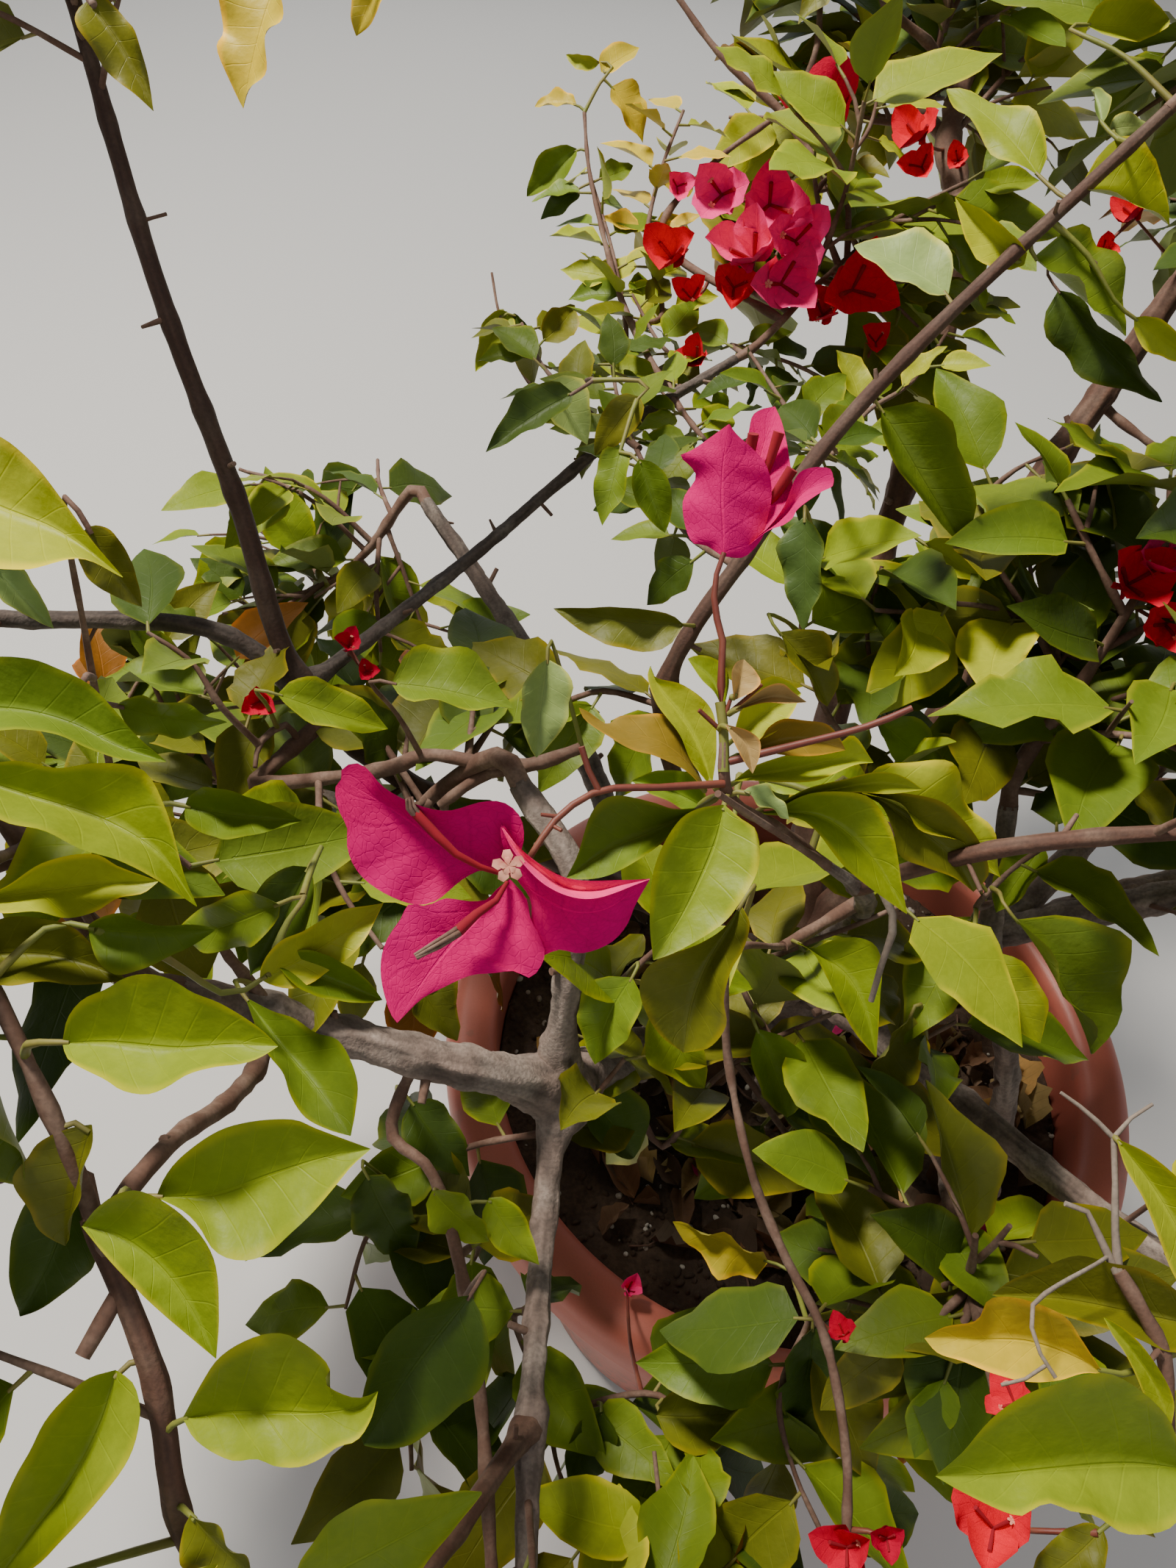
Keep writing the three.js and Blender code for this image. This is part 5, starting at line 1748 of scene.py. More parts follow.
# Path of a leafy twig, length of its leaves in millimetres, and its tones
SEEN_SPRAYS = (
    (((1180, 1060, 450), (1120, 960, 440), (1090, 860, 432), (1110, 760, 430)), FULL_LEAF, SUNLIT),
    (((1250, 1080, 470), (1200, 960, 460), (1180, 860, 450), (1200, 770, 445)), FULL_LEAF, SHADED),
    (((1380, 1080, 460), (1340, 960, 455), (1300, 860, 450), (1290, 770, 450)), FULL_LEAF, SHADED),
    (((1480, 1080, 470), (1450, 960, 460), (1420, 860, 455), (1400, 760, 450), (1400, 690, 450)),
        FULL_LEAF, SHADED),
    (((1580, 1050, 470), (1540, 930, 460), (1520, 830, 460)), FULL_LEAF, SHADED),
    (((1320, 700, 470), (1380, 640, 465), (1450, 610, 460)), FULL_LEAF, SUNLIT),
    (((770, 1400, 430), (850, 1330, 420), (930, 1260, 410), (1000, 1220, 400)), FULL_LEAF, SUNLIT),
    (((900, 1560, 450), (960, 1480, 440), (1040, 1420, 430), (1130, 1380, 420)), FULL_LEAF, SUNLIT),
    (((1010, 1330, 430), (1080, 1290, 420), (1160, 1260, 415), (1230, 1230, 410)), FULL_LEAF, SUNLIT),
    (((1100, 1560, 460), (1160, 1480, 450), (1230, 1430, 445), (1300, 1390, 440)), FULL_LEAF, SHADED),
    (((740, 1540, 430), (800, 1500, 425), (850, 1440, 420)), FULL_LEAF, SUNLIT),
    (((1330, 1230, 430), (1380, 1180, 425), (1440, 1140, 420)), FULL_LEAF, SHADED),
    (((640, 1560, 440), (560, 1600, 450), (500, 1680, 450), (470, 1780, 450)), FULL_LEAF, SHADED),
    (((650, 1700, 430), (600, 1800, 430), (560, 1900, 430), (560, 2000, 425)), FULL_LEAF, SHADED),
    (((700, 1800, 430), (740, 1900, 430), (760, 2000, 425), (800, 2100, 420)), FULL_LEAF, SHADED),
    (((900, 1900, 430), (960, 1990, 420), (1000, 2090, 410)), FULL_LEAF, SHADED),
    (((1100, 1800, 400), (1060, 1900, 395), (1080, 2000, 390), (1120, 2090, 385)), FULL_LEAF, SHADED),
    (((1250, 1780, 420), (1200, 1870, 410), (1190, 1960, 400)), FULL_LEAF, SUNLIT),
    (((1330, 1700, 430), (1380, 1800, 410), (1400, 1900, 390), (1440, 2000, 370)), FULL_LEAF, SUNLIT),
    (((860, 560, 555), (850, 430, 580), (830, 330, 590), (800, 230, 600)), SMALL_LEAF, (Tone.LIME,
        Tone.GREEN)),
    (((900, 430, 585), (880, 330, 595), (900, 230, 600), (930, 150, 600)), SMALL_LEAF, (Tone.LIME,
        Tone.YELLOW)),
    (((960, 520, 565), (900, 470, 575), (860, 400, 580)), SMALL_LEAF, (Tone.OLIVE, Tone.GREEN)),
    (((1000, 470, 580), (1090, 500, 575), (1160, 540, 570)), SMALL_LEAF, (Tone.GREEN, Tone.DARK)),
    (((1100, 600, 480), (1060, 540, 490), (1020, 480, 500)), SMALL_LEAF, (Tone.GREEN, Tone.DARK)),
    (((1110, 260, 605), (1180, 180, 600), (1200, 90, 600)), SMALL_LEAF, (Tone.LIME, Tone.OLIVE)),
    (((930, 720, 440), (880, 640, 470), (840, 540, 510), (830, 460, 540)), SMALL_LEAF, (Tone.GREEN,
        Tone.DARK)),
    (((870, 610, 480), (800, 560, 510), (740, 500, 540), (710, 440, 570)), SMALL_LEAF, (Tone.GREEN,
        Tone.OLIVE)),
    (((960, 600, 500), (930, 560, 520), (900, 500, 545)), SMALL_LEAF, (Tone.GREEN, Tone.BRIGHT)),
    (((1130, 620, 520), (1180, 560, 530), (1240, 520, 540), (1290, 450, 545)), SMALL_LEAF, (Tone.GREEN,
        Tone.LIME)),
    (((900, 960, 440), (820, 940, 445), (740, 960, 450), (650, 930, 450)), FULL_LEAF, SHADED),
    (((1330, 900, 440), (1260, 840, 435), (1190, 830, 430)), FULL_LEAF, (Tone.LIME, Tone.BRIGHT)),
    (((1540, 960, 440), (1440, 880, 440), (1360, 830, 435), (1290, 820, 430)), FULL_LEAF, (Tone.GREEN,
        Tone.LIME)),
    (((160, 1060, 330), (200, 1130, 325), (260, 1180, 320)), FULL_LEAF, SUNLIT),
    (((60, 1180, 330), (120, 1250, 330), (160, 1340, 330)), FULL_LEAF, SHADED),
    (((300, 960, 420), (260, 900, 415), (200, 860, 410)), FULL_LEAF, SHADED),
    (((440, 1150, 400), (470, 1220, 395), (520, 1290, 390)), FULL_LEAF, SUNLIT),
)  # fmt: skip

# Centre, length of a bract in pixels, depth and tone of each bloom further back
# PINK, a lighter magenta, paints the light on blooms that lie in light.
SEEN_BLOOMS = (
    ((980, 262), 64, 548, Tone.PINK), ((1048, 276), 70, 548, Tone.PINK),
    ((1086, 325), 64, 546, Tone.PINK), ((1022, 345), 76, 546, Tone.PINK),
    ((1068, 385), 70, 546, Tone.PINK), ((1000, 390), 48, 556, Tone.RED), ((912, 345), 60, 560, Tone.RED),
    ((940, 396), 34, 560, Tone.RED), ((925, 250), 30, 566, Tone.PINK), ((1120, 422), 50, 554, Tone.RED),
    ((1166, 391), 68, 552, Tone.RED), ((1193, 459), 34, 552, Tone.RED), ((944, 482), 40, 552, Tone.RED),
    ((1245, 180), 50, 585, Tone.RED), ((1252, 222), 36, 585, Tone.RED), ((1303, 214), 30, 585, Tone.RED),
    ((1538, 286), 40, 520, Tone.RED), ((1507, 336), 26, 520, Tone.RED), ((1545, 790), 76, 405, Tone.RED),
    ((1590, 850), 66, 405, Tone.RED), ((1578, 765), 60, 403, Tone.PINK),
    ((473, 870), 30, 432, Tone.CRIMSON), ((501, 911), 22, 432, Tone.CRIMSON),
    ((350, 955), 34, 420, Tone.CRIMSON), ((1150, 2110), 64, 330, Tone.CRIMSON),
    ((1210, 2100), 40, 330, Tone.CRIMSON), ((1352, 2078), 76, 300, Tone.RED),
    ((1372, 1896), 54, 300, Tone.RED), ((1143, 1806), 34, 360, Tone.CRIMSON),
    ((860, 1750), 30, 520, Tone.PINK),
)  # fmt: skip


@dataclass(frozen=True)
class NearBlade:
    """A leaf or bract near the camera with an outline of its own, in pixels.

    Its rib starts at a depth and changes by the tilt up to its tip. Each margin stands off the rib's depth.
    """

    tone: Tone
    depth: float
    tilt: float
    right_off: float
    left_off: float
    rib: tuple[Pixel, ...]
    right: tuple[Pixel, ...]
    left: tuple[Pixel, ...]
    rows: int = 30
    columns: int = 12
    belly: float = 0.05

    def edge(self, margin: Sequence[Pixel] = (), off: float = 0.0, side: float = 0.0) -> Points:
        """Places along the rib, or along a margin that starts and ends beside the rib's ends."""
        shares = np.linspace(0, 1, self.rows + 1)
        rib = np.array(self.rib, float)
        across = unit((rib[-1] - rib[0])[::-1] * (-1, 1)) * side
        line = [rib[0] + across, *margin, rib[-1] + across * 0.6] if margin else rib
        flat = Path([(x, y, 0) for x, y in line]).at(shares)
        depths = self.depth + self.tilt * shares + off * np.sin(math.pi * shares**0.8)
        return np.array([VIEW.seen(x, y, depth) for (x, y, _), depth in zip(flat, depths)])

    def build(self) -> tuple[Points, Points, Points]:
        """Stretches the blade between its margins.

        Returns:
            Vertices, the blade's map and its faces.
        """
        rib = self.edge()
        right, left = self.edge(self.right, self.right_off, 1), self.edge(self.left, self.left_off, -1)
        side = np.linspace(-1, 1, self.columns + 1)[None, :, None]
        out = np.where(side < 0, left[:, None], right[:, None]) - rib[:, None]
        verts = rib[:, None] + out * np.abs(side)
        span = np.linalg.norm(right - left, axis=1)[:, None, None]
        to_eye = VIEW.toward(rib)[:, None]
        shares = np.linspace(0, 1, self.rows + 1)[:, None, None]
        bulge = (np.abs(side) - side**2) * self.belly * 4
        ripple = np.sin(shares * 31 + side * 2.0 + self.depth)
        pucker = 0.02 * ripple * np.abs(side) * np.sin(math.pi * shares)
        verts = verts + to_eye * span * (bulge * -0.5 + pucker)
        uv = np.stack(np.broadcast_arrays((side[..., 0] + 1) / 2, shares[..., 0]), -1)
        return verts.reshape(-1, 3), uv.reshape(-1, 2), net(self.rows, self.columns)


# Their tones are lighter for leaves that lie in light and darker for leaves in shade: painted light and
# painted shade over the leaves' own tones.
NEAR_LEAVES = (
    # Whorl on the front spray's stem
    NearBlade(Tone.BRIGHT, 258, -6, -7, -5, ((985, 1095), (975, 1140), (955, 1190), (925, 1250),
        (889, 1306)),
        ((950, 1100), (925, 1115), (892, 1175), (884, 1250)),
        ((1010, 1115), (1028, 1128), (1032, 1180), (1005, 1230), (985, 1255), (920, 1295))),
    NearBlade(Tone.GREEN, 280, 6, -8, -6, ((950, 1100), (933, 1110), (880, 1135), (820, 1160),
        (771, 1194)),
        ((915, 1100), (890, 1092), (840, 1082), (820, 1088), (805, 1105), (785, 1165)),
        ((890, 1155), (830, 1190), (800, 1196))),
    NearBlade(Tone.RUSTY, 266, -2, 8, -9, ((960, 1075), (942, 1045), (900, 1010), (850, 995),
        (810, 980), (788, 963)),
        ((942, 1030), (930, 990), (905, 972), (870, 972), (840, 975), (828, 985), (800, 968)),
        ((935, 1050), (890, 1028), (860, 1020), (830, 1003), (795, 978))),
    NearBlade(Tone.LIME, 270, 4, -6, -6, ((968, 1070), (960, 1040), (945, 1005), (920, 965), (900, 940),
        (885, 906)),
        ((975, 1015), (968, 965), (930, 932), (890, 920)),
        ((940, 1035), (925, 1000), (892, 955), (881, 918))),
    NearBlade(Tone.BRIGHT, 266, 3, -3, -3, ((984, 965), (968, 925), (936, 896)),
        ((992, 925), (985, 905), (965, 893), (945, 892)),
        ((972, 942), (955, 925))),
    NearBlade(Tone.TAN, 260, 0, -3, -3, ((999, 952), (1008, 922), (1012, 897)),
        ((1025, 940), (1035, 928), (1028, 913)),
        ((996, 912), (1003, 900))),
    NearBlade(Tone.TAN, 260, -3, -3, -5, ((1000, 966), (1050, 948), (1097, 955)),
        ((1040, 956), (1070, 957)),
        ((1045, 933), (1065, 930), (1080, 942))),
    NearBlade(Tone.LIME, 270, 4, -5, -5, ((996, 1010), (1008, 996), (1050, 965), (1090, 943)),
        ((1035, 1006), (1060, 992), (1078, 970)),
        ((1008, 965), (1025, 935), (1050, 920), (1075, 928))),
    NearBlade(Tone.TAN, 258, -2, -3, -3, ((988, 986), (1015, 1012), (1024, 1052)),
        ((1010, 1032),),
        ((1020, 995), (1034, 1008), (1033, 1030))),
    NearBlade(Tone.LIME, 276, 8, -9, -5, ((1000, 1062), (1018, 1056), (1080, 1046), (1140, 1034),
        (1188, 1037)),
        ((1020, 1062), (1060, 1064), (1110, 1062), (1165, 1040)),
        ((1020, 1045), (1060, 1030), (1100, 1020), (1140, 1012), (1160, 1000))),
    NearBlade(Tone.RUSTY, 268, 4, -6, -4, ((996, 1030), (1035, 1016), (1090, 1005), (1150, 1020)),
        ((1035, 1024), (1075, 1028), (1110, 1028)),
        ((1035, 1005), (1045, 990), (1065, 978), (1095, 980), (1125, 985), (1140, 1000))),
    NearBlade(Tone.BRIGHT, 284, 2, -10, -6, ((1030, 1106), (1055, 1105), (1120, 1112), (1180, 1160),
        (1234, 1243)),
        ((1090, 1115), (1110, 1130), (1150, 1180), (1200, 1220)),
        ((1060, 1100), (1080, 1088), (1110, 1078), (1180, 1083), (1200, 1105), (1215, 1135), (1228, 1210))),
    NearBlade(Tone.OLIVE, 304, 8, -8, -8, ((1150, 1080), (1185, 1083), (1250, 1125), (1300, 1170),
        (1325, 1213)),
        ((1195, 1092), (1215, 1130), (1225, 1165), (1260, 1180), (1300, 1195)),
        ((1190, 1076), (1280, 1090), (1310, 1115), (1335, 1150), (1345, 1190))),
    NearBlade(Tone.LIME, 284, 8, -5, -6, ((1030, 1100), (1062, 1095), (1130, 1075), (1200, 1065),
        (1254, 1074)),
        ((1065, 1098), (1110, 1085), (1160, 1078), (1210, 1080)),
        ((1060, 1091), (1100, 1072), (1150, 1060), (1195, 1050), (1230, 1057))),
    NearBlade(Tone.OLIVE, 322, 8, -9, -9, ((1008, 1232), (990, 1262), (962, 1310), (940, 1370),
        (930, 1432)),
        ((985, 1262), (955, 1282), (885, 1312), (870, 1340), (880, 1380), (900, 1410)),
        ((1020, 1255), (1012, 1290), (995, 1320), (985, 1360), (988, 1395), (965, 1425))),
    NearBlade(Tone.BRIGHT, 380, -4, -9, -7, ((1085, 1282), (1100, 1290), (1150, 1325), (1180, 1380),
        (1192, 1438)),
        ((1105, 1295), (1125, 1330), (1160, 1400)),
        ((1105, 1290), (1130, 1280), (1165, 1275), (1190, 1285), (1200, 1310), (1198, 1350))),
    # Left edge
    NearBlade(Tone.BRIGHT, 222, -6, -10, -6, ((85, 1418), (150, 1418), (240, 1426), (320, 1420),
        (378, 1423)),
        ((92, 1440), (145, 1470), (165, 1483), (200, 1489), (225, 1480), (255, 1462), (290, 1452),
        (330, 1447), (355, 1438)),
        ((92, 1385), (112, 1360), (145, 1345), (170, 1330), (200, 1325), (232, 1332), (262, 1350),
        (300, 1365), (355, 1400))),
    NearBlade(Tone.BRIGHT, 226, -8, -10, -6, ((213, 1628), (290, 1625), (370, 1597), (450, 1572),
        (504, 1563)),
        ((250, 1648), (270, 1668), (290, 1700), (310, 1712), (340, 1714), (365, 1705), (395, 1678),
        (425, 1650), (455, 1615), (480, 1585)),
        ((222, 1605), (240, 1580), (285, 1545), (320, 1530), (400, 1523), (430, 1535))),
    NearBlade(Tone.BRIGHT, 230, -4, -6, -10, ((112, 1668), (160, 1680), (215, 1720), (260, 1780),
        (294, 1848)),
        ((150, 1716), (200, 1768), (230, 1795)),
        ((130, 1645), (160, 1624), (190, 1620), (250, 1655), (290, 1710), (298, 1790))),
    NearBlade(Tone.BRIGHT, 240, -12, -9, -9, ((249, 1929), (300, 1922), (370, 1922), (440, 1922),
        (490, 1912), (514, 1893)),
        ((265, 1958), (315, 1987), (350, 1985), (375, 1995), (410, 1995), (440, 1982), (460, 1968),
        (485, 1960), (505, 1930)),
        ((275, 1880), (295, 1850), (325, 1828), (360, 1815), (395, 1817), (449, 1862), (441, 1880),
        (480, 1901), (497, 1900))),
    NearBlade(Tone.BRIGHT, 242, -8, -8, -8, ((158, 1864), (140, 1930), (100, 2010), (40, 2090),
        (-15, 2165)),
        ((120, 1875), (85, 1905), (60, 1935), (40, 1975), (20, 2010), (0, 2060)),
        ((180, 1880), (190, 1910), (188, 1945), (175, 1985), (135, 2040), (80, 2100), (50, 2130))),
    NearBlade(Tone.GREEN, 340, -35, -12, -6, ((335, 1358), (380, 1420), (430, 1480), (477, 1545)),
        ((362, 1430), (385, 1460), (395, 1490), (415, 1520), (450, 1538)),
        ((370, 1375), (400, 1385), (430, 1405), (460, 1415), (486, 1470), (484, 1510))),
    NearBlade(Tone.LIME, 232, -8, -14, -6, ((-90, 650), (0, 690), (80, 722), (167, 785)),
        ((-40, 760), (30, 775), (110, 760)),
        ((-40, 585), (0, 594), (45, 630), (85, 680), (125, 735))),
    NearBlade(Tone.GREEN, 232, -8, -12, -5, ((-60, 960), (40, 968), (100, 985), (160, 1015),
        (226, 1036)),
        ((-20, 992), (30, 992), (80, 1000), (120, 1018), (170, 1034)),
        ((-30, 900), (40, 896), (80, 910), (120, 930), (155, 965), (185, 1000))),
    NearBlade(Tone.BRIGHT, 220, -6, -16, -6, ((-60, 1050), (50, 1085), (140, 1115), (215, 1160),
        (268, 1233)),
        ((0, 1115), (60, 1130), (110, 1155), (160, 1170), (210, 1195)),
        ((20, 1035), (80, 1045), (130, 1038), (195, 1048), (225, 1100), (240, 1150), (252, 1195))),
    NearBlade(Tone.LIME, 232, -4, -8, -6, ((-60, 1225), (30, 1215), (110, 1205), (170, 1200),
        (215, 1199)),
        ((0, 1242), (50, 1240), (90, 1249), (130, 1240), (160, 1222), (195, 1215)),
        ((0, 1210), (60, 1173), (130, 1162), (160, 1178))),
    NearBlade(Tone.OLIVE, 244, -4, -10, -5, ((-60, 1300), (60, 1298), (120, 1312), (172, 1334)),
        ((0, 1340), (60, 1335), (100, 1340)),
        ((0, 1250), (60, 1250), (100, 1262), (130, 1290))),
    # Lower right
    NearBlade(Tone.BRIGHT, 232, -8, -9, -9, ((1612, 1998), (1540, 1992), (1440, 1998), (1350, 2006),
        (1273, 2008)),
        ((1590, 1930), (1535, 1880), (1505, 1868), (1470, 1872), (1430, 1885), (1400, 1895), (1360, 1920),
        (1335, 1945), (1310, 1975)),
        ((1610, 2055), (1590, 2080), (1530, 2086), (1490, 2062), (1455, 2055), (1430, 2045), (1410, 2050),
        (1390, 2062), (1310, 2030))),
    NearBlade(Tone.YELLOW, 254, 0, -5, -7, ((1500, 1868), (1475, 1852), (1400, 1825), (1330, 1822),
        (1258, 1820)),
        ((1470, 1820), (1450, 1792), (1380, 1765), (1345, 1768), (1330, 1795), (1285, 1805)),
        ((1475, 1868), (1440, 1878), (1400, 1880), (1350, 1868), (1310, 1852), (1275, 1840))),
    NearBlade(Tone.OLIVE, 268, 2, -6, -10, ((1660, 1810), (1560, 1790), (1450, 1768), (1350, 1761)),
        ((1600, 1755), (1560, 1728), (1510, 1718), (1465, 1708), (1410, 1728), (1375, 1742)),
        ((1600, 1840), (1540, 1818), (1480, 1800), (1430, 1785), (1390, 1775))),
    NearBlade(Tone.LIME, 266, -2, -5, -8, ((1520, 1550), (1565, 1610), (1605, 1680), (1640, 1785)),
        ((1532, 1590), (1555, 1630), (1575, 1680), (1600, 1740)),
        ((1560, 1568), (1600, 1600), (1640, 1650), (1655, 1720))),
    NearBlade(Tone.LIME, 258, -4, -4, -4, ((1592, 1945), (1572, 1885), (1540, 1838), (1502, 1792)),
        ((1597, 1905), (1560, 1838), (1530, 1808)),
        ((1565, 1915), (1545, 1870), (1530, 1840), (1513, 1815))),
)  # fmt: skip

NEAR_BRACTS = (
    NearBlade(Tone.MAGENTA, 252, -4, -8, 1, ((686, 1187), (640, 1172), (600, 1150), (560, 1118),
        (510, 1086), (464, 1060)),
        ((708, 1160), (713, 1135), (706, 1108), (684, 1091), (655, 1091), (606, 1103), (556, 1090),
        (520, 1069), (498, 1044), (485, 1038), (468, 1043), (463, 1052)),
        ((655, 1184), (630, 1196), (590, 1227), (560, 1230), (500, 1200), (480, 1175), (472, 1150),
        (472, 1125), (462, 1105), (456, 1072))),
    NearBlade(Tone.MAGENTA, 251, -6, -3, 2, ((694, 1196), (678, 1218), (650, 1248), (620, 1278),
        (590, 1315), (562, 1355), (540, 1391)),
        ((672, 1213), (664, 1223), (640, 1226), (605, 1222), (580, 1232), (556, 1230), (545, 1250),
        (528, 1275), (519, 1300), (519, 1335), (532, 1380)),
        ((716, 1222), (722, 1250), (735, 1275), (741, 1300), (722, 1330), (700, 1321), (670, 1324),
        (640, 1327), (600, 1345), (575, 1358)), belly=-0.03),
    NearBlade(Tone.MAGENTA, 250, -5, 5, -5, ((702, 1194), (740, 1222), (780, 1240), (820, 1238),
        (855, 1218), (884, 1196)),
        ((722, 1225), (722, 1260), (720, 1298), (735, 1301), (760, 1292), (790, 1297), (830, 1283),
        (852, 1260), (864, 1232)),
        ((684, 1150), (682, 1120), (712, 1158), (770, 1194), (850, 1197))),
    # This bract takes PINK, a lighter magenta: painted light where it lies in light.
    NearBlade(Tone.PINK, 245, 0, -4, -1, ((682, 1124), (706, 1160), (758, 1202), (785, 1211),
        (815, 1210), (850, 1202), (884, 1196)),
        ((700, 1160), (745, 1206), (800, 1223)),
        ((712, 1158), (770, 1194), (850, 1197)), belly=-0.2),
    NearBlade(Tone.MAGENTA, 262, -5, 4, 5, ((984, 757), (984, 720), (982, 680), (983, 640), (992, 577)),
        ((1012, 758), (1038, 730), (1042, 715), (1050, 670), (1041, 630), (1000, 588)),
        ((960, 742), (942, 738), (929, 682), (947, 648), (940, 635), (925, 620), (940, 613)), belly=-0.06),
    NearBlade(Tone.MAGENTA, 266, 4, -4, -2, ((1003, 750), (1020, 680), (1035, 620), (1054, 553)),
        ((1068, 700), (1078, 660), (1075, 630), (1064, 575)),
        ((1003, 680), (1008, 620), (1018, 590), (1024, 565), (1035, 557))),
    NearBlade(Tone.MAGENTA, 265, -4, -4, -2, ((1010, 748), (1050, 715), (1075, 690), (1100, 665),
        (1134, 650)),
        ((1045, 722), (1066, 714), (1079, 704), (1084, 694), (1118, 669), (1133, 661)),
        ((1045, 718), (1066, 690), (1090, 641), (1130, 638))),
)  # fmt: skip

# Flower tubes on the near bracts: foot radius, tip radius and path
SEEN_TUBES = (
    (0.5, 1.2, ((686, 1190, 250), (650, 1178, 247), (618, 1160, 245), (588, 1130, 244), (566, 1106, 244))),
    (0.5, 1.3, ((690, 1200, 250), (676, 1224, 247), (656, 1238, 245), (634, 1254, 243), (624, 1266, 243))),
    (0.6, 1.2, ((698, 1192, 250), (695, 1184, 247), (692, 1178, 243))),
    (0.8, 1.35, ((1000, 700, 270), (1016, 640, 268), (1024, 600, 265), (1025, 590, 264))),
    (0.8, 1.35, ((1012, 700, 271), (1040, 650, 268), (1054, 604, 265), (1060, 588, 264))),
    (0.8, 1.35, ((1020, 715, 270), (1050, 682, 266), (1066, 655, 263), (1078, 638, 262))),
)  # fmt: skip
SEEN_DRY_TIPS = (
    ((566, 1106, 244), (558, 1096, 243), (556, 1086, 243)),
    ((624, 1266, 243), (606, 1277, 241), (584, 1293, 241), (566, 1302, 241)),
)  # fmt: skip
DRY_STRANDS = 5


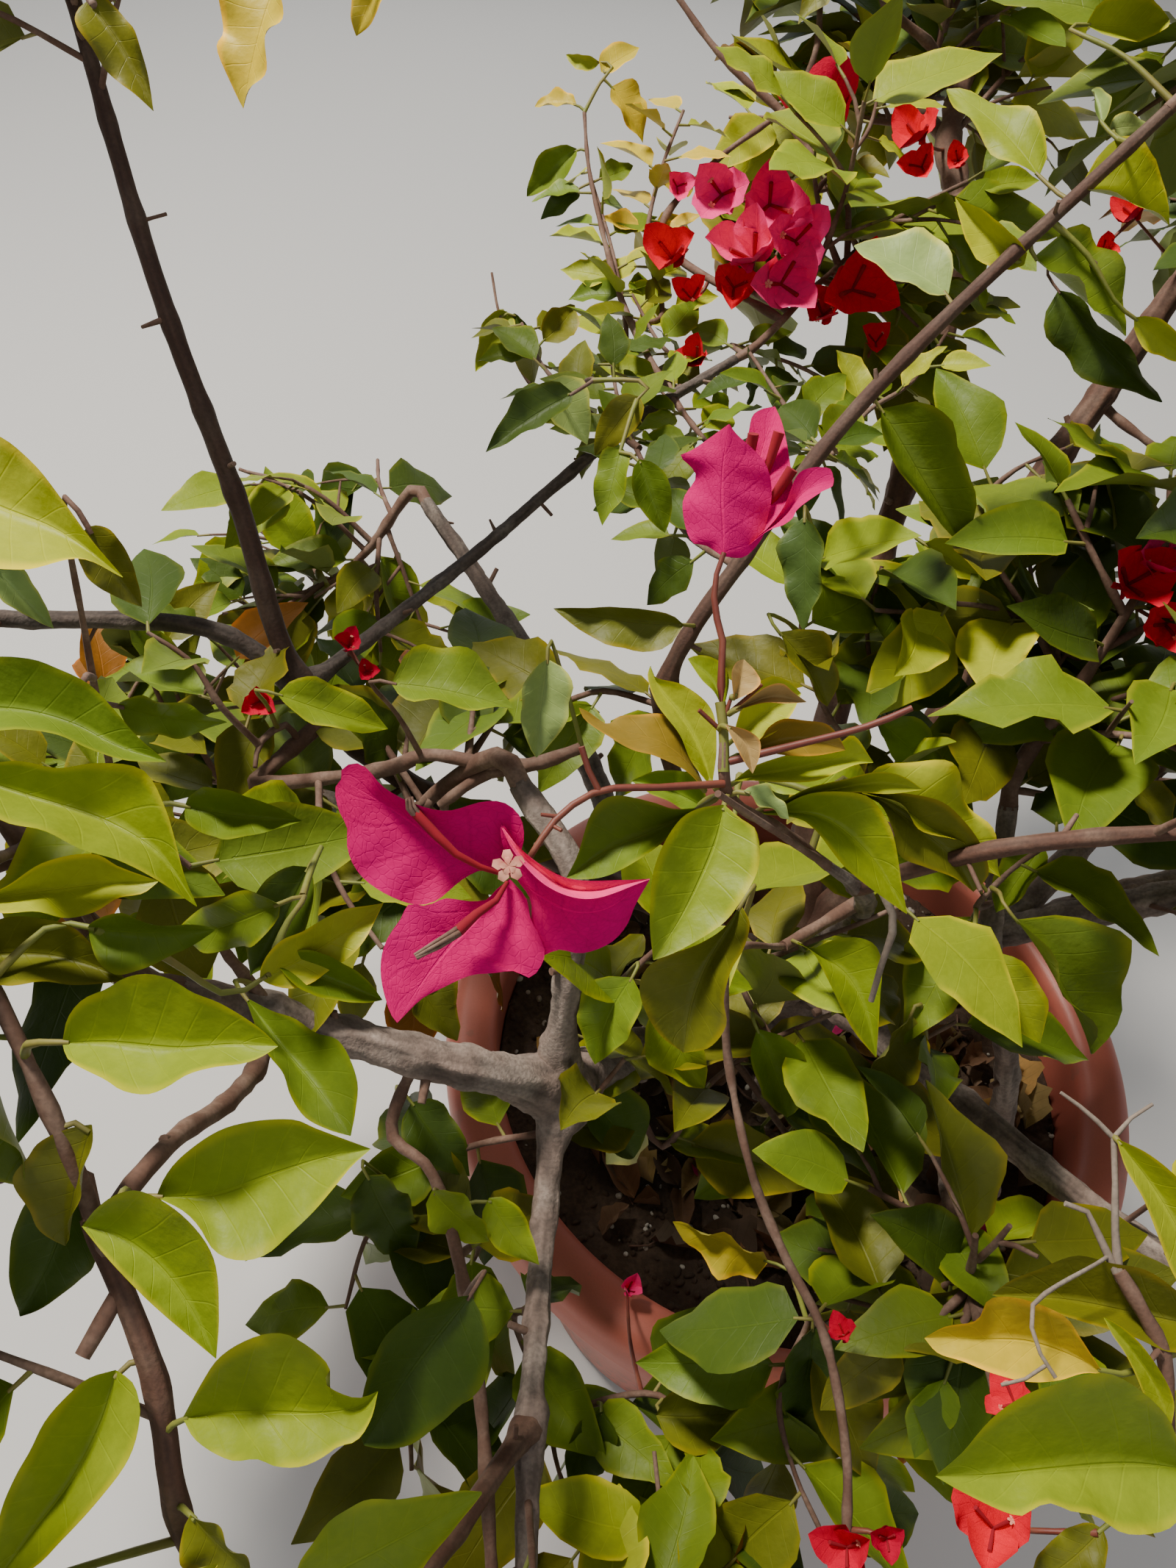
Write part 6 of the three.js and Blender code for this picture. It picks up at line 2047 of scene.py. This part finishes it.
class Seen:
    """The twigs, leaves and blooms that show near the camera, each grown from a limb or a twig."""

    NEAR = 350.0
    FINE_CUT, PLAIN_CUT = (26, 10), (14, 6)
    OPEN_FLOWER = (692, 1178, 242.5)

    def __init__(self, growth: Growth) -> None:
        """Adds to a growth."""
        self.growth = growth

    def rooted(self, pixels: Sequence[Place]) -> list[Points]:
        """The places of a line of pixels, led on from the nearest limb or twig."""
        places = VIEW.line(pixels)
        carrier = self.growth.balls.nearest(places[0])
        return [carrier, *places] if np.linalg.norm(carrier - places[0]) > 3 else places

    def stems(self) -> None:
        """Grows the stems, each from the nearest limb or twig."""
        for kind, foot, tip, pixels in SEEN_STEMS:
            rough = 0.35 if kind in (Sprig.WOOD, Sprig.DEAD) else 0.2
            path = getattr(self.growth, kind.value).add(self.rooted(pixels), foot, tip, rough)
            self.growth.balls.carry(path)

    def leaf_stalk(self, foot: Points, along: Points) -> None:
        """Joins a leaf's foot to the nearest stem by a stalk, or by a twig if it is far."""
        carrier = self.growth.balls.nearest(foot)
        away = float(np.linalg.norm(carrier - foot))
        inside_leaf = foot + along * 1.5
        if away < 16:
            bend = (carrier + foot) / 2 - along * away * 0.12
            self.growth.stalks.add([carrier, bend, inside_leaf], 0.8, 0.6)
            return
        neck = foot - along * min(away * 0.3, 7)
        bend = (carrier + neck) / 2 + UP * away * 0.06
        bin_of_kind = self.growth.stalks if away < 45 else self.growth.twigs
        twig = bin_of_kind.add([carrier, bend, neck, inside_leaf], 1.1, 0.6, 0.2)
        self.growth.balls.carry(twig)

    def leaves(self) -> None:
        """Cuts every near leaf over its four places."""
        dice = Dice(77)
        for foot_at, tip_at, right_width, left_width, depth, tone in SEEN_LEAVES:
            cut = CutRange.NEAR_LEAF.cut(dice, *(self.FINE_CUT if depth < self.NEAR else self.PLAIN_CUT))
            foot_px, tip_px = np.array(foot_at, float), np.array(tip_at, float)
            way = tip_px - foot_px
            span = float(np.linalg.norm(way))
            right_way = np.array([-way[1], way[0]]) / span
            rib = foot_px + way * cut.peak
            size = span * depth / VIEW.focal
            tilt = dice.roll(-0.12, 0.3) * size
            roll = dice.roll(-0.16, 0.16) * size
            foot = VIEW.seen(*foot_px, depth)
            tip = VIEW.seen(*tip_px, depth + tilt)
            right = VIEW.seen(*(rib + right_way * right_width), depth + tilt * cut.peak + roll)
            left = VIEW.seen(*(rib - right_way * left_width), depth + tilt * cut.peak - roll)
            verts, uv = cut.cut(foot, tip, left, right)
            self.growth.near_leaves.add(verts, [cut.faces()], uv, shaded(tone, dice, 0.1))
            self.leaf_stalk(foot, unit(tip - foot))
        for blade in NEAR_LEAVES:
            verts, uv, faces = blade.build()
            self.growth.near_leaves.add(verts, [faces], uv, shaded(blade.tone, dice, 0.06))
            foot, on = blade.edge()[[0, 4]]
            self.leaf_stalk(foot, unit(on - foot))

    def sprays(self) -> None:
        """Grows leafy twigs, each with leaves on alternate sides."""
        dice = Dice(123)
        for pixels, size, tones in SEEN_SPRAYS:
            path = self.growth.twigs.add(self.rooted(pixels), 1.5, 0.8, 0.3)
            self.growth.balls.carry(path)
            count = int(path.length / (size * 0.27))
            turn = dice.roll(0, 6)
            for k in range(count):
                share = 0.14 + 0.85 * k / (count - 1)
                way = path.way(share)
                out = turned(side_of(way), way, turn + k * LEAF_TURN)
                along = unit(way * 0.45 + out * np.array([1, 1, 0.5]) + UP * dice.roll(-0.4, 0.1))
                across = turned(side_of(along, LEAF_NUDGE), along, dice.roll(-0.6, 0.6))
                foot = path.at(share) + along * dice.roll(4, 8)
                tip = foot + along * size
                clear = clear_of_planter(foot) and clear_of_planter(tip)
                if clear and not hides_bloom(np.array([foot, tip])):
                    tint = shaded(dice.pick(tones), dice)
                    length = size * dice.roll(0.75, 1.15)
                    self.growth.leaf(path.at(share), foot, along, across, length, tint, dice)

    def blooms(self) -> None:
        """Opens the blooms: the two near ones bract by bract, the others by the rule."""
        dice = Dice(99)
        for blade in NEAR_BRACTS:
            verts, uv, faces = blade.build()
            self.growth.near_bracts.add(verts, [faces], uv, shaded(blade.tone, dice, 0.04))
        for foot_radius, tip_radius, pixels in SEEN_TUBES:
            self.growth.tubes.add(VIEW.line(pixels), foot_radius, tip_radius, 0.15)
        for pixels in SEEN_DRY_TIPS:
            line = np.array(VIEW.line(pixels))
            along = unit(line[-1] - line[0])
            across = unit(np.cross(along, UP))
            for k in range(DRY_STRANDS):
                out = turned(across, along, 2 * math.pi * k / DRY_STRANDS)
                twist = turned(out, along, 0.9)
                halfway = [(out + twist) * 0.42 for _ in line[1:-1]]
                spread = [out * 0.75, *halfway, twist * dice.roll(0.2, 0.8)]
                self.growth.twigs.add(line + np.array(spread), 0.5, 0.3, 0.4)
        place = VIEW.seen(*self.OPEN_FLOWER)
        to_eye = VIEW.toward(place)
        self.growth.star(place, to_eye, 3.4)
        self.growth.star(place + to_eye * 0.5, turned(to_eye, UP, 0.2), 1.9)
        for (x, y), pixels, depth, tone in SEEN_BLOOMS:
            place = VIEW.seen(x, y, depth)
            aside = np.array([dice.roll(-0.5, 0.5), dice.roll(-0.5, 0.5), 0])
            axis = unit(VIEW.toward(place) + UP * 0.4 + aside)
            foot = place - axis * 6
            size = pixels * depth / VIEW.focal * 1.1
            self.growth.bloom(foot, axis, size, dice.roll(0.7, 1.3), tone, dice)
            carrier = self.growth.balls.nearest(foot)
            bend = (carrier + foot) / 2 - axis * 4
            twig = self.growth.red_stalks.add([carrier, bend, foot], 1.0, 0.6, 0.2)
            self.growth.balls.carry(twig)

    def build(self) -> None:
        """Adds all that shows near the camera."""
        self.stems()
        self.sprays()
        self.leaves()
        self.blooms()


@dataclass
class Foliage:
    """Twigs, stalks, leaves and blooms of the whole crown."""

    growth: Growth = field(default_factory=Growth)

    def grow_masses(self, shop: Workshop) -> None:
        """Grows every mass and shows the leaves and bracts of each region as one piece."""
        for mass in MASSES:
            mass.know_neighbours(MASSES)
        for region in Growth.REGIONS:
            members = [mass for mass in MASSES if mass.region == region]
            for mass in members:
                mass.grow(self.growth)
            if region == "back":
                self.grow_spurs()
            nodes = [mass.name for mass in members]
            shop.show(f"crown_{region}", self.growth.leaves, "leaf", "leaf", *nodes)
            if self.growth.bracts.rows:
                shop.show(f"blossom_{region}", self.growth.bracts, "bract", "bract")

    def grow_spurs(self) -> None:
        """Grows short leafy shoots along the boughs, where the photograph does not look."""
        everywhere = ((0, 0, 500), (800, 800, 800))
        grower = LeafyMass("spurs", "", *everywhere, 0, 0, "", leaf_length=44.0, unseen=True)
        grower.know_neighbours(())
        dice = Dice(4201)
        for limb in LIMBS:
            run = limb.path.length * 0.3
            while run < limb.path.length:
                share = run / limb.path.length
                place, way = limb.path.at(share), limb.path.way(share)
                out = turned(side_of(way), way, -dice.roll(-0.6, math.pi + 0.6))
                tip = place + unit(out + way * 0.5 + UP * 0.2) * (limb.radius(share) + dice.roll(22, 60))
                if grower.fits(tip[None], self.growth.balls, 5.0):
                    places = [place, (place + tip) / 2 + UP * 2, tip]
                    twig = self.growth.twigs.add(places, 1.2, 0.8, 0.2, 8.0)
                    grower.dress(twig, 0.35, self.growth, dice.pick(grower.tones), dice, 12.0)
                run += dice.roll(9, 18)

    def show_rest(self, shop: Workshop) -> None:
        """Shows the stems of all kinds and all that the photograph shows from near."""
        growth = self.growth
        for name, shapes, finish, slot in (
            ("twigs", growth.twigs, "twig_bark", "cane_bark"),
            ("near_leaves", growth.near_leaves, "leaf", "leaf"),
            ("near_bracts", growth.near_bracts, "bract", "bract"),
            ("crown_seen", growth.leaves, "leaf", "leaf"),
            ("blossom_seen", growth.bracts, "bract", "bract"),
            ("red_stalks", growth.red_stalks, "red_stalk", "bract"),
            ("dead_twigs", growth.dead_twigs, "dead_twig", "cane_bark"),
            ("leaf_stalks", growth.stalks, "green_stalk", "leaf"),
            ("flower_tubes", growth.tubes, "flower_tube", "bract"),
            ("petals", growth.petals, "cream_petal", "bract"),
        ):
            shop.show(name, shapes, finish, slot)
        for leftover in (growth.leaves, growth.bracts):
            leftover.clear()


@dataclass
class Planter:
    """The broad-lipped pot, turned from one profile."""

    segments: int = 168
    body: tuple[Pixel, ...] = ((0, 0), (112, 0), (118, 0.6), (121.5, 2.4), (123, 6))
    neck: tuple[Pixel, ...] = ((158.8, 262), (160.5, 263.2))
    lip: tuple[Pixel, ...] = (
        (160.5, 263.2), (170, 261.4), (175.6, 262.4), (178.4, 266), (179.4, 274), (179.9, 286),
        (179, 292.5), (176.6, 296.6), (172.4, 299.1), (167, 299.9), (160.5, 299.4), (156.2, 297.4),
        (153.6, 293.8), (152.8, 289),
    )  # fmt: skip
    inner: tuple[Pixel, ...] = ((152, 260), (134, 130), (117, 10), (115, 8.2), (0, 8))

    def profile(self) -> Points:
        """Radius and height along the whole wall."""
        lip = Path([(radius, height, 0) for radius, height in self.lip]).at(np.linspace(0, 1, 60))[:, :2]
        wall = np.linspace(self.body[-1], self.neck[0], 24)
        drop = np.linspace(lip[-1], self.inner[0], 8)[1:]
        return np.vstack([self.body[:-1], wall, self.neck[1:], lip[1:], drop, self.inner[1:]])

    def build(self, shop: Workshop) -> None:
        """Makes the pot."""
        gathered = MeshBin()
        gathered.add(*lathe(self.profile(), self.segments))
        shop.show("pot", gathered, "satin_terracotta", "planter", "planter")


def lathe(profile: Points, segments: int) -> tuple[Points, list[Points]]:
    """Turns a profile that starts and ends on the axis.

    Args:
        profile: Radius and height at each step, from the underside round the outside.
        segments: Steps round the axis.

    Returns:
        Vertices and faces.
    """
    middle = profile[1:-1]
    angle = np.arange(segments) * 2 * math.pi / segments
    radius, height = middle[:, :1], np.repeat(middle[:, 1:], segments, 1)
    rings = np.stack([radius * np.cos(angle), radius * np.sin(angle), height], -1).reshape(-1, 3)
    ends = np.array([[0, 0, profile[0][1]], [0, 0, profile[-1][1]]])
    wall = net(len(middle) - 1, segments, closed=True)
    k = np.arange(segments)
    low, high = len(rings), len(rings) + 1
    last = (len(middle) - 1) * segments
    floor = np.stack([np.full(segments, low), (k + 1) % segments, k], -1)
    top = np.stack([np.full(segments, high), last + k, last + (k + 1) % segments], -1)
    return np.vstack([rings, ends]), [wall, floor, top]


@dataclass
class Soil:
    """Crumbly soil with dry leaves, fallen bracts, sticks and grit on it."""

    SCATTERS = (
        ("pale_stones", 6000.0, 0.6, 2.4, 5, "pale_grit"),
        ("soil_clods", 14000.0, 0.8, 3.4, 9, "damp_soil"),
    )
    radius: float = 151.2
    foot_radius: float = 115.0
    foot: float = 8.4
    rings: int = 110
    segments: int = 260
    dry_leaves: int = 230
    fallen_bracts: int = 16
    sticks: int = 46

    def height(self, x: float, y: float) -> float:
        """Height of the soil at a place."""
        away = math.hypot(x, y) / self.radius
        broad = noise.noise(Vector((x * 0.021, y * 0.021, 3.0))) * 4.5
        lumps = noise.noise(Vector((x * 0.09, y * 0.09, 7.0))) * 2.4
        crumbs = abs(noise.noise(Vector((x * 0.3, y * 0.3, 1.0)))) * 1.8
        return SOIL_TOP + (broad + lumps + crumbs) * (1 - 0.5 * away**6)

    def ground(self, shop: Workshop) -> bpy.types.Object:
        """Makes the soil itself."""
        radii = self.radius * np.linspace(0, 1, self.rings + 1)[1:]
        angle = np.arange(self.segments) * 2 * math.pi / self.segments
        low = np.array([[self.foot_radius * 0.5, self.foot], [self.foot_radius, self.foot], [133, 130]])
        outer = np.stack([radii[::-1], np.full(self.rings, SOIL_TOP)], -1)
        profile = np.vstack([[[0, self.foot]], low, outer, [[0, self.height(0, 0)]]])
        verts, faces = lathe(profile, self.segments)
        top = verts[:, 2] > SOIL_TOP - 1
        verts[top, 2] = [self.height(x, y) for x, y, _ in verts[top]]
        gathered = MeshBin()
        gathered.add(verts, faces)
        return shop.show("soil_crumbs", gathered, "damp_soil", "soil", "soil")

    def scattered(self, dice: Dice, reach: float) -> Pixel:
        """A place within a share of the soil's radius, as likely anywhere."""
        away, turn = self.radius * reach * math.sqrt(dice.roll(0, 1)), dice.roll(0, 2 * math.pi)
        return away * math.cos(turn), away * math.sin(turn)

    def litter(self, shop: Workshop, growth: Growth, dice: Dice) -> None:
        """Drops dry leaves and bracts on the soil."""
        dry = LeafBin("dry_leaf", CutRange.LITTER, 6, 0.5, 97)
        for k in range(self.dry_leaves + self.fallen_bracts):
            fallen = k >= self.dry_leaves
            x, y = self.scattered(dice, 0.9)
            heading = dice.roll(0, 2 * math.pi)
            along = unit(np.array([math.cos(heading), math.sin(heading), dice.roll(-0.1, 0.3)]))
            across = turned(unit(np.cross(along, UP)), along, dice.roll(-0.6, 0.6))
            foot = np.array([x, y, self.height(x, y) + dice.roll(1.5, 5.5)])
            size = dice.roll(16, 40)
            pink = fallen and dice.roll(0, 1) < 0.7
            tint = shaded(Tone.PINK if pink else dice.pick(LITTER_MIX), dice, 0.4)
            if math.hypot(*(foot + along * size)[:2]) < self.radius - 3:
                (growth.bracts if fallen else dry).add(foot, along, across, size * 0.8, k, tint)
        shop.show("dry_litter", dry, "dry_leaf", "soil")
        shop.show("fallen_bracts", growth.bracts, "bract", "bract")
        dry.clear()

    def drop_sticks(self, shop: Workshop, dice: Dice) -> None:
        """Drops short sticks on the soil."""
        sticks = TwigBin(6)
        for _ in range(self.sticks):
            heart_x, heart_y = self.scattered(dice, 0.85)
            heading, long = dice.roll(0, 2 * math.pi), dice.roll(8, 34)
            ends = []
            for part in (-0.5, 0.05, 0.5):
                x = heart_x + math.cos(heading + part * 0.6) * long * part
                y = heart_y + math.sin(heading + part * 0.6) * long * part
                ends.append((x, y, self.height(x, y) + dice.roll(1.6, 4.0)))
            if max(math.hypot(x, y) for x, y, _ in ends) < self.radius - 3:
                sticks.add(ends, dice.roll(0.5, 1.2), dice.roll(0.3, 0.7), 0.3)
        shop.show("fallen_sticks", sticks, "twig_bark", "soil")

    def grit_group(self) -> NodeGroup:
        """Geometry group that scatters stones of many sizes over the soil's top."""
        inputs = {
            "Soil": "Geometry", "Density": "Float", "Smallest": "Float", "Largest": "Float", "Seed": "Int",
            "Finish": "Material",
        }  # fmt: skip
        group = NodeGroup("grit_on_soil", "Geometry", inputs, ("Grit",))
        desk, given = group.desk, group.given
        height = desk.parts(desk.put("GeometryNodeInputPosition").outputs[0])[2]
        inputs = {0: height, 1: (SOIL_TOP - 4) * MM}
        on_top = desk.put("FunctionNodeCompare", inputs, data_type="FLOAT", operation="GREATER_THAN")
        inputs = {"Mesh": given["Soil"], "Selection": on_top.outputs[0], "Density": given["Density"]}
        spread = desk.put("GeometryNodeDistributePointsOnFaces", {**inputs, "Seed": given["Seed"]})
        stone = desk.put("GeometryNodeMeshIcoSphere", {"Radius": 1.0, "Subdivisions": 2})
        size, flat, turn = (
            desk.put(
                "FunctionNodeRandomValue",
                {**ends, "Seed": desk.sum("ADD", given["Seed"], offset)},
                data_type=kind,
            )
            for offset, kind, ends in (
                (1.0, "FLOAT", {2: given["Smallest"], 3: given["Largest"]}),
                (2.0, "FLOAT_VECTOR", {0: (0.6, 0.5, 0.4), 1: (1.2, 1.0, 0.8)}),
                (3.0, "FLOAT_VECTOR", {1: (6.28, 6.28, 6.28)}),
            )
        )
        inputs = {0: flat.outputs[0], "Scale": size.outputs[1]}
        stretch = desk.put("ShaderNodeVectorMath", inputs, operation="SCALE")
        inputs = {
            "Points": spread.outputs["Points"],
            "Instance": stone.outputs[0],
            "Rotation": turn.outputs[0],
            "Scale": stretch.outputs[0],
        }
        group.end(desk.put("GeometryNodeInstanceOnPoints", inputs).outputs[0])
        return group

    def grit(self, shop: Workshop, ground: bpy.types.Object) -> None:
        """Scatters stones and clods over the soil."""
        group = self.grit_group()
        for name, density, smallest, largest, seed, finish in self.SCATTERS:
            values = {"Density": density, "Smallest": smallest * MM, "Largest": largest * MM, "Seed": seed}
            mesh = group.baked(ground.data.copy(), name, **values, Finish=shop.materials[finish])
            shop.show(name, mesh, finish, "soil")

    def build(self, shop: Workshop, growth: Growth) -> None:
        """Makes the soil and all that lies on it."""
        dice = Dice(4021)
        ground = self.ground(shop)
        self.litter(shop, growth, dice)
        self.drop_sticks(shop, dice)
        self.grit(shop, ground)


@dataclass(frozen=True)
class SoftLamp:
    """A square soft lamp that shines at the crown."""

    name: str
    place: Place
    size: float
    power: float
    colour: Place = (1.0, 1.0, 1.0)
    aim: Place = (0.0, 0.0, 0.45)

    def build(self) -> None:
        """Hangs the lamp."""
        data = bpy.data.lights.new(self.name, "AREA")
        data.size = self.size
        data.energy = self.power
        data.color = self.colour
        lamp = bpy.data.objects.new(self.name, data)
        lamp.location = self.place
        way = Vector(self.aim) - Vector(self.place)
        lamp.rotation_euler = way.to_track_quat("-Z", "Y").to_euler()
        bpy.context.scene.collection.objects.link(lamp)


class Studio:
    """Plain pale floor and soft light."""

    FLOOR_HALF = 4000.0
    FLOOR_DROP = -0.5
    LAMPS = (
        SoftLamp("high_window", (-1.1, 0.55, 2.5), 0.36, 96.0, (1.0, 0.955, 0.88)),
        SoftLamp("front_fill", (0.6, -2.2, 1.9), 2.2, 14.0, (0.92, 0.96, 1.0)),
        SoftLamp("right_fill", (2.3, 0.4, 1.5), 1.8, 9.0),
        SoftLamp("back_fill", (-0.4, 2.4, 1.3), 2.0, 10.0, (0.95, 0.98, 1.0)),
    )

    def build(self) -> None:
        """Lays the floor, hangs the lamps and sets the sky."""
        corners = ((-1, -1), (1, -1), (1, 1), (-1, 1))
        verts = np.array([[x * self.FLOOR_HALF, y * self.FLOOR_HALF, self.FLOOR_DROP] for x, y in corners])
        mesh = plain_mesh("floor", verts, [np.array([[0, 1, 2, 3]])])
        material, _, shader = new_material("pale_floor")
        shader.inputs["Base Color"].default_value = (0.62, 0.6, 0.57, 1)
        shader.inputs["Roughness"].default_value = 0.85
        mesh.materials.append(material)
        floor = bpy.data.objects.new("floor", mesh)
        bpy.context.scene.collection.objects.link(floor)
        for lamp in self.LAMPS:
            lamp.build()
        world = bpy.data.worlds.new("soft_sky")
        world.use_nodes = True
        sky = world.node_tree.nodes["Background"]
        sky.inputs["Color"].default_value = (0.86, 0.92, 1.0, 1)
        sky.inputs["Strength"].default_value = 0.3
        bpy.context.scene.world = world


def main() -> None:
    """Builds the whole bush in its planter."""
    logging.basicConfig(level=logging.INFO, format="%(name)s: %(message)s")
    VIEW.build()
    Studio().build()
    shop = Workshop()
    foliage = Foliage()
    Wood().build(shop, foliage.growth.twigs)
    Planter().build(shop)
    foliage.grow_masses(shop)
    Soil().build(shop, foliage.growth)
    Seen(foliage.growth).build()
    foliage.show_rest(shop)


if __name__ == "__main__":
    main()
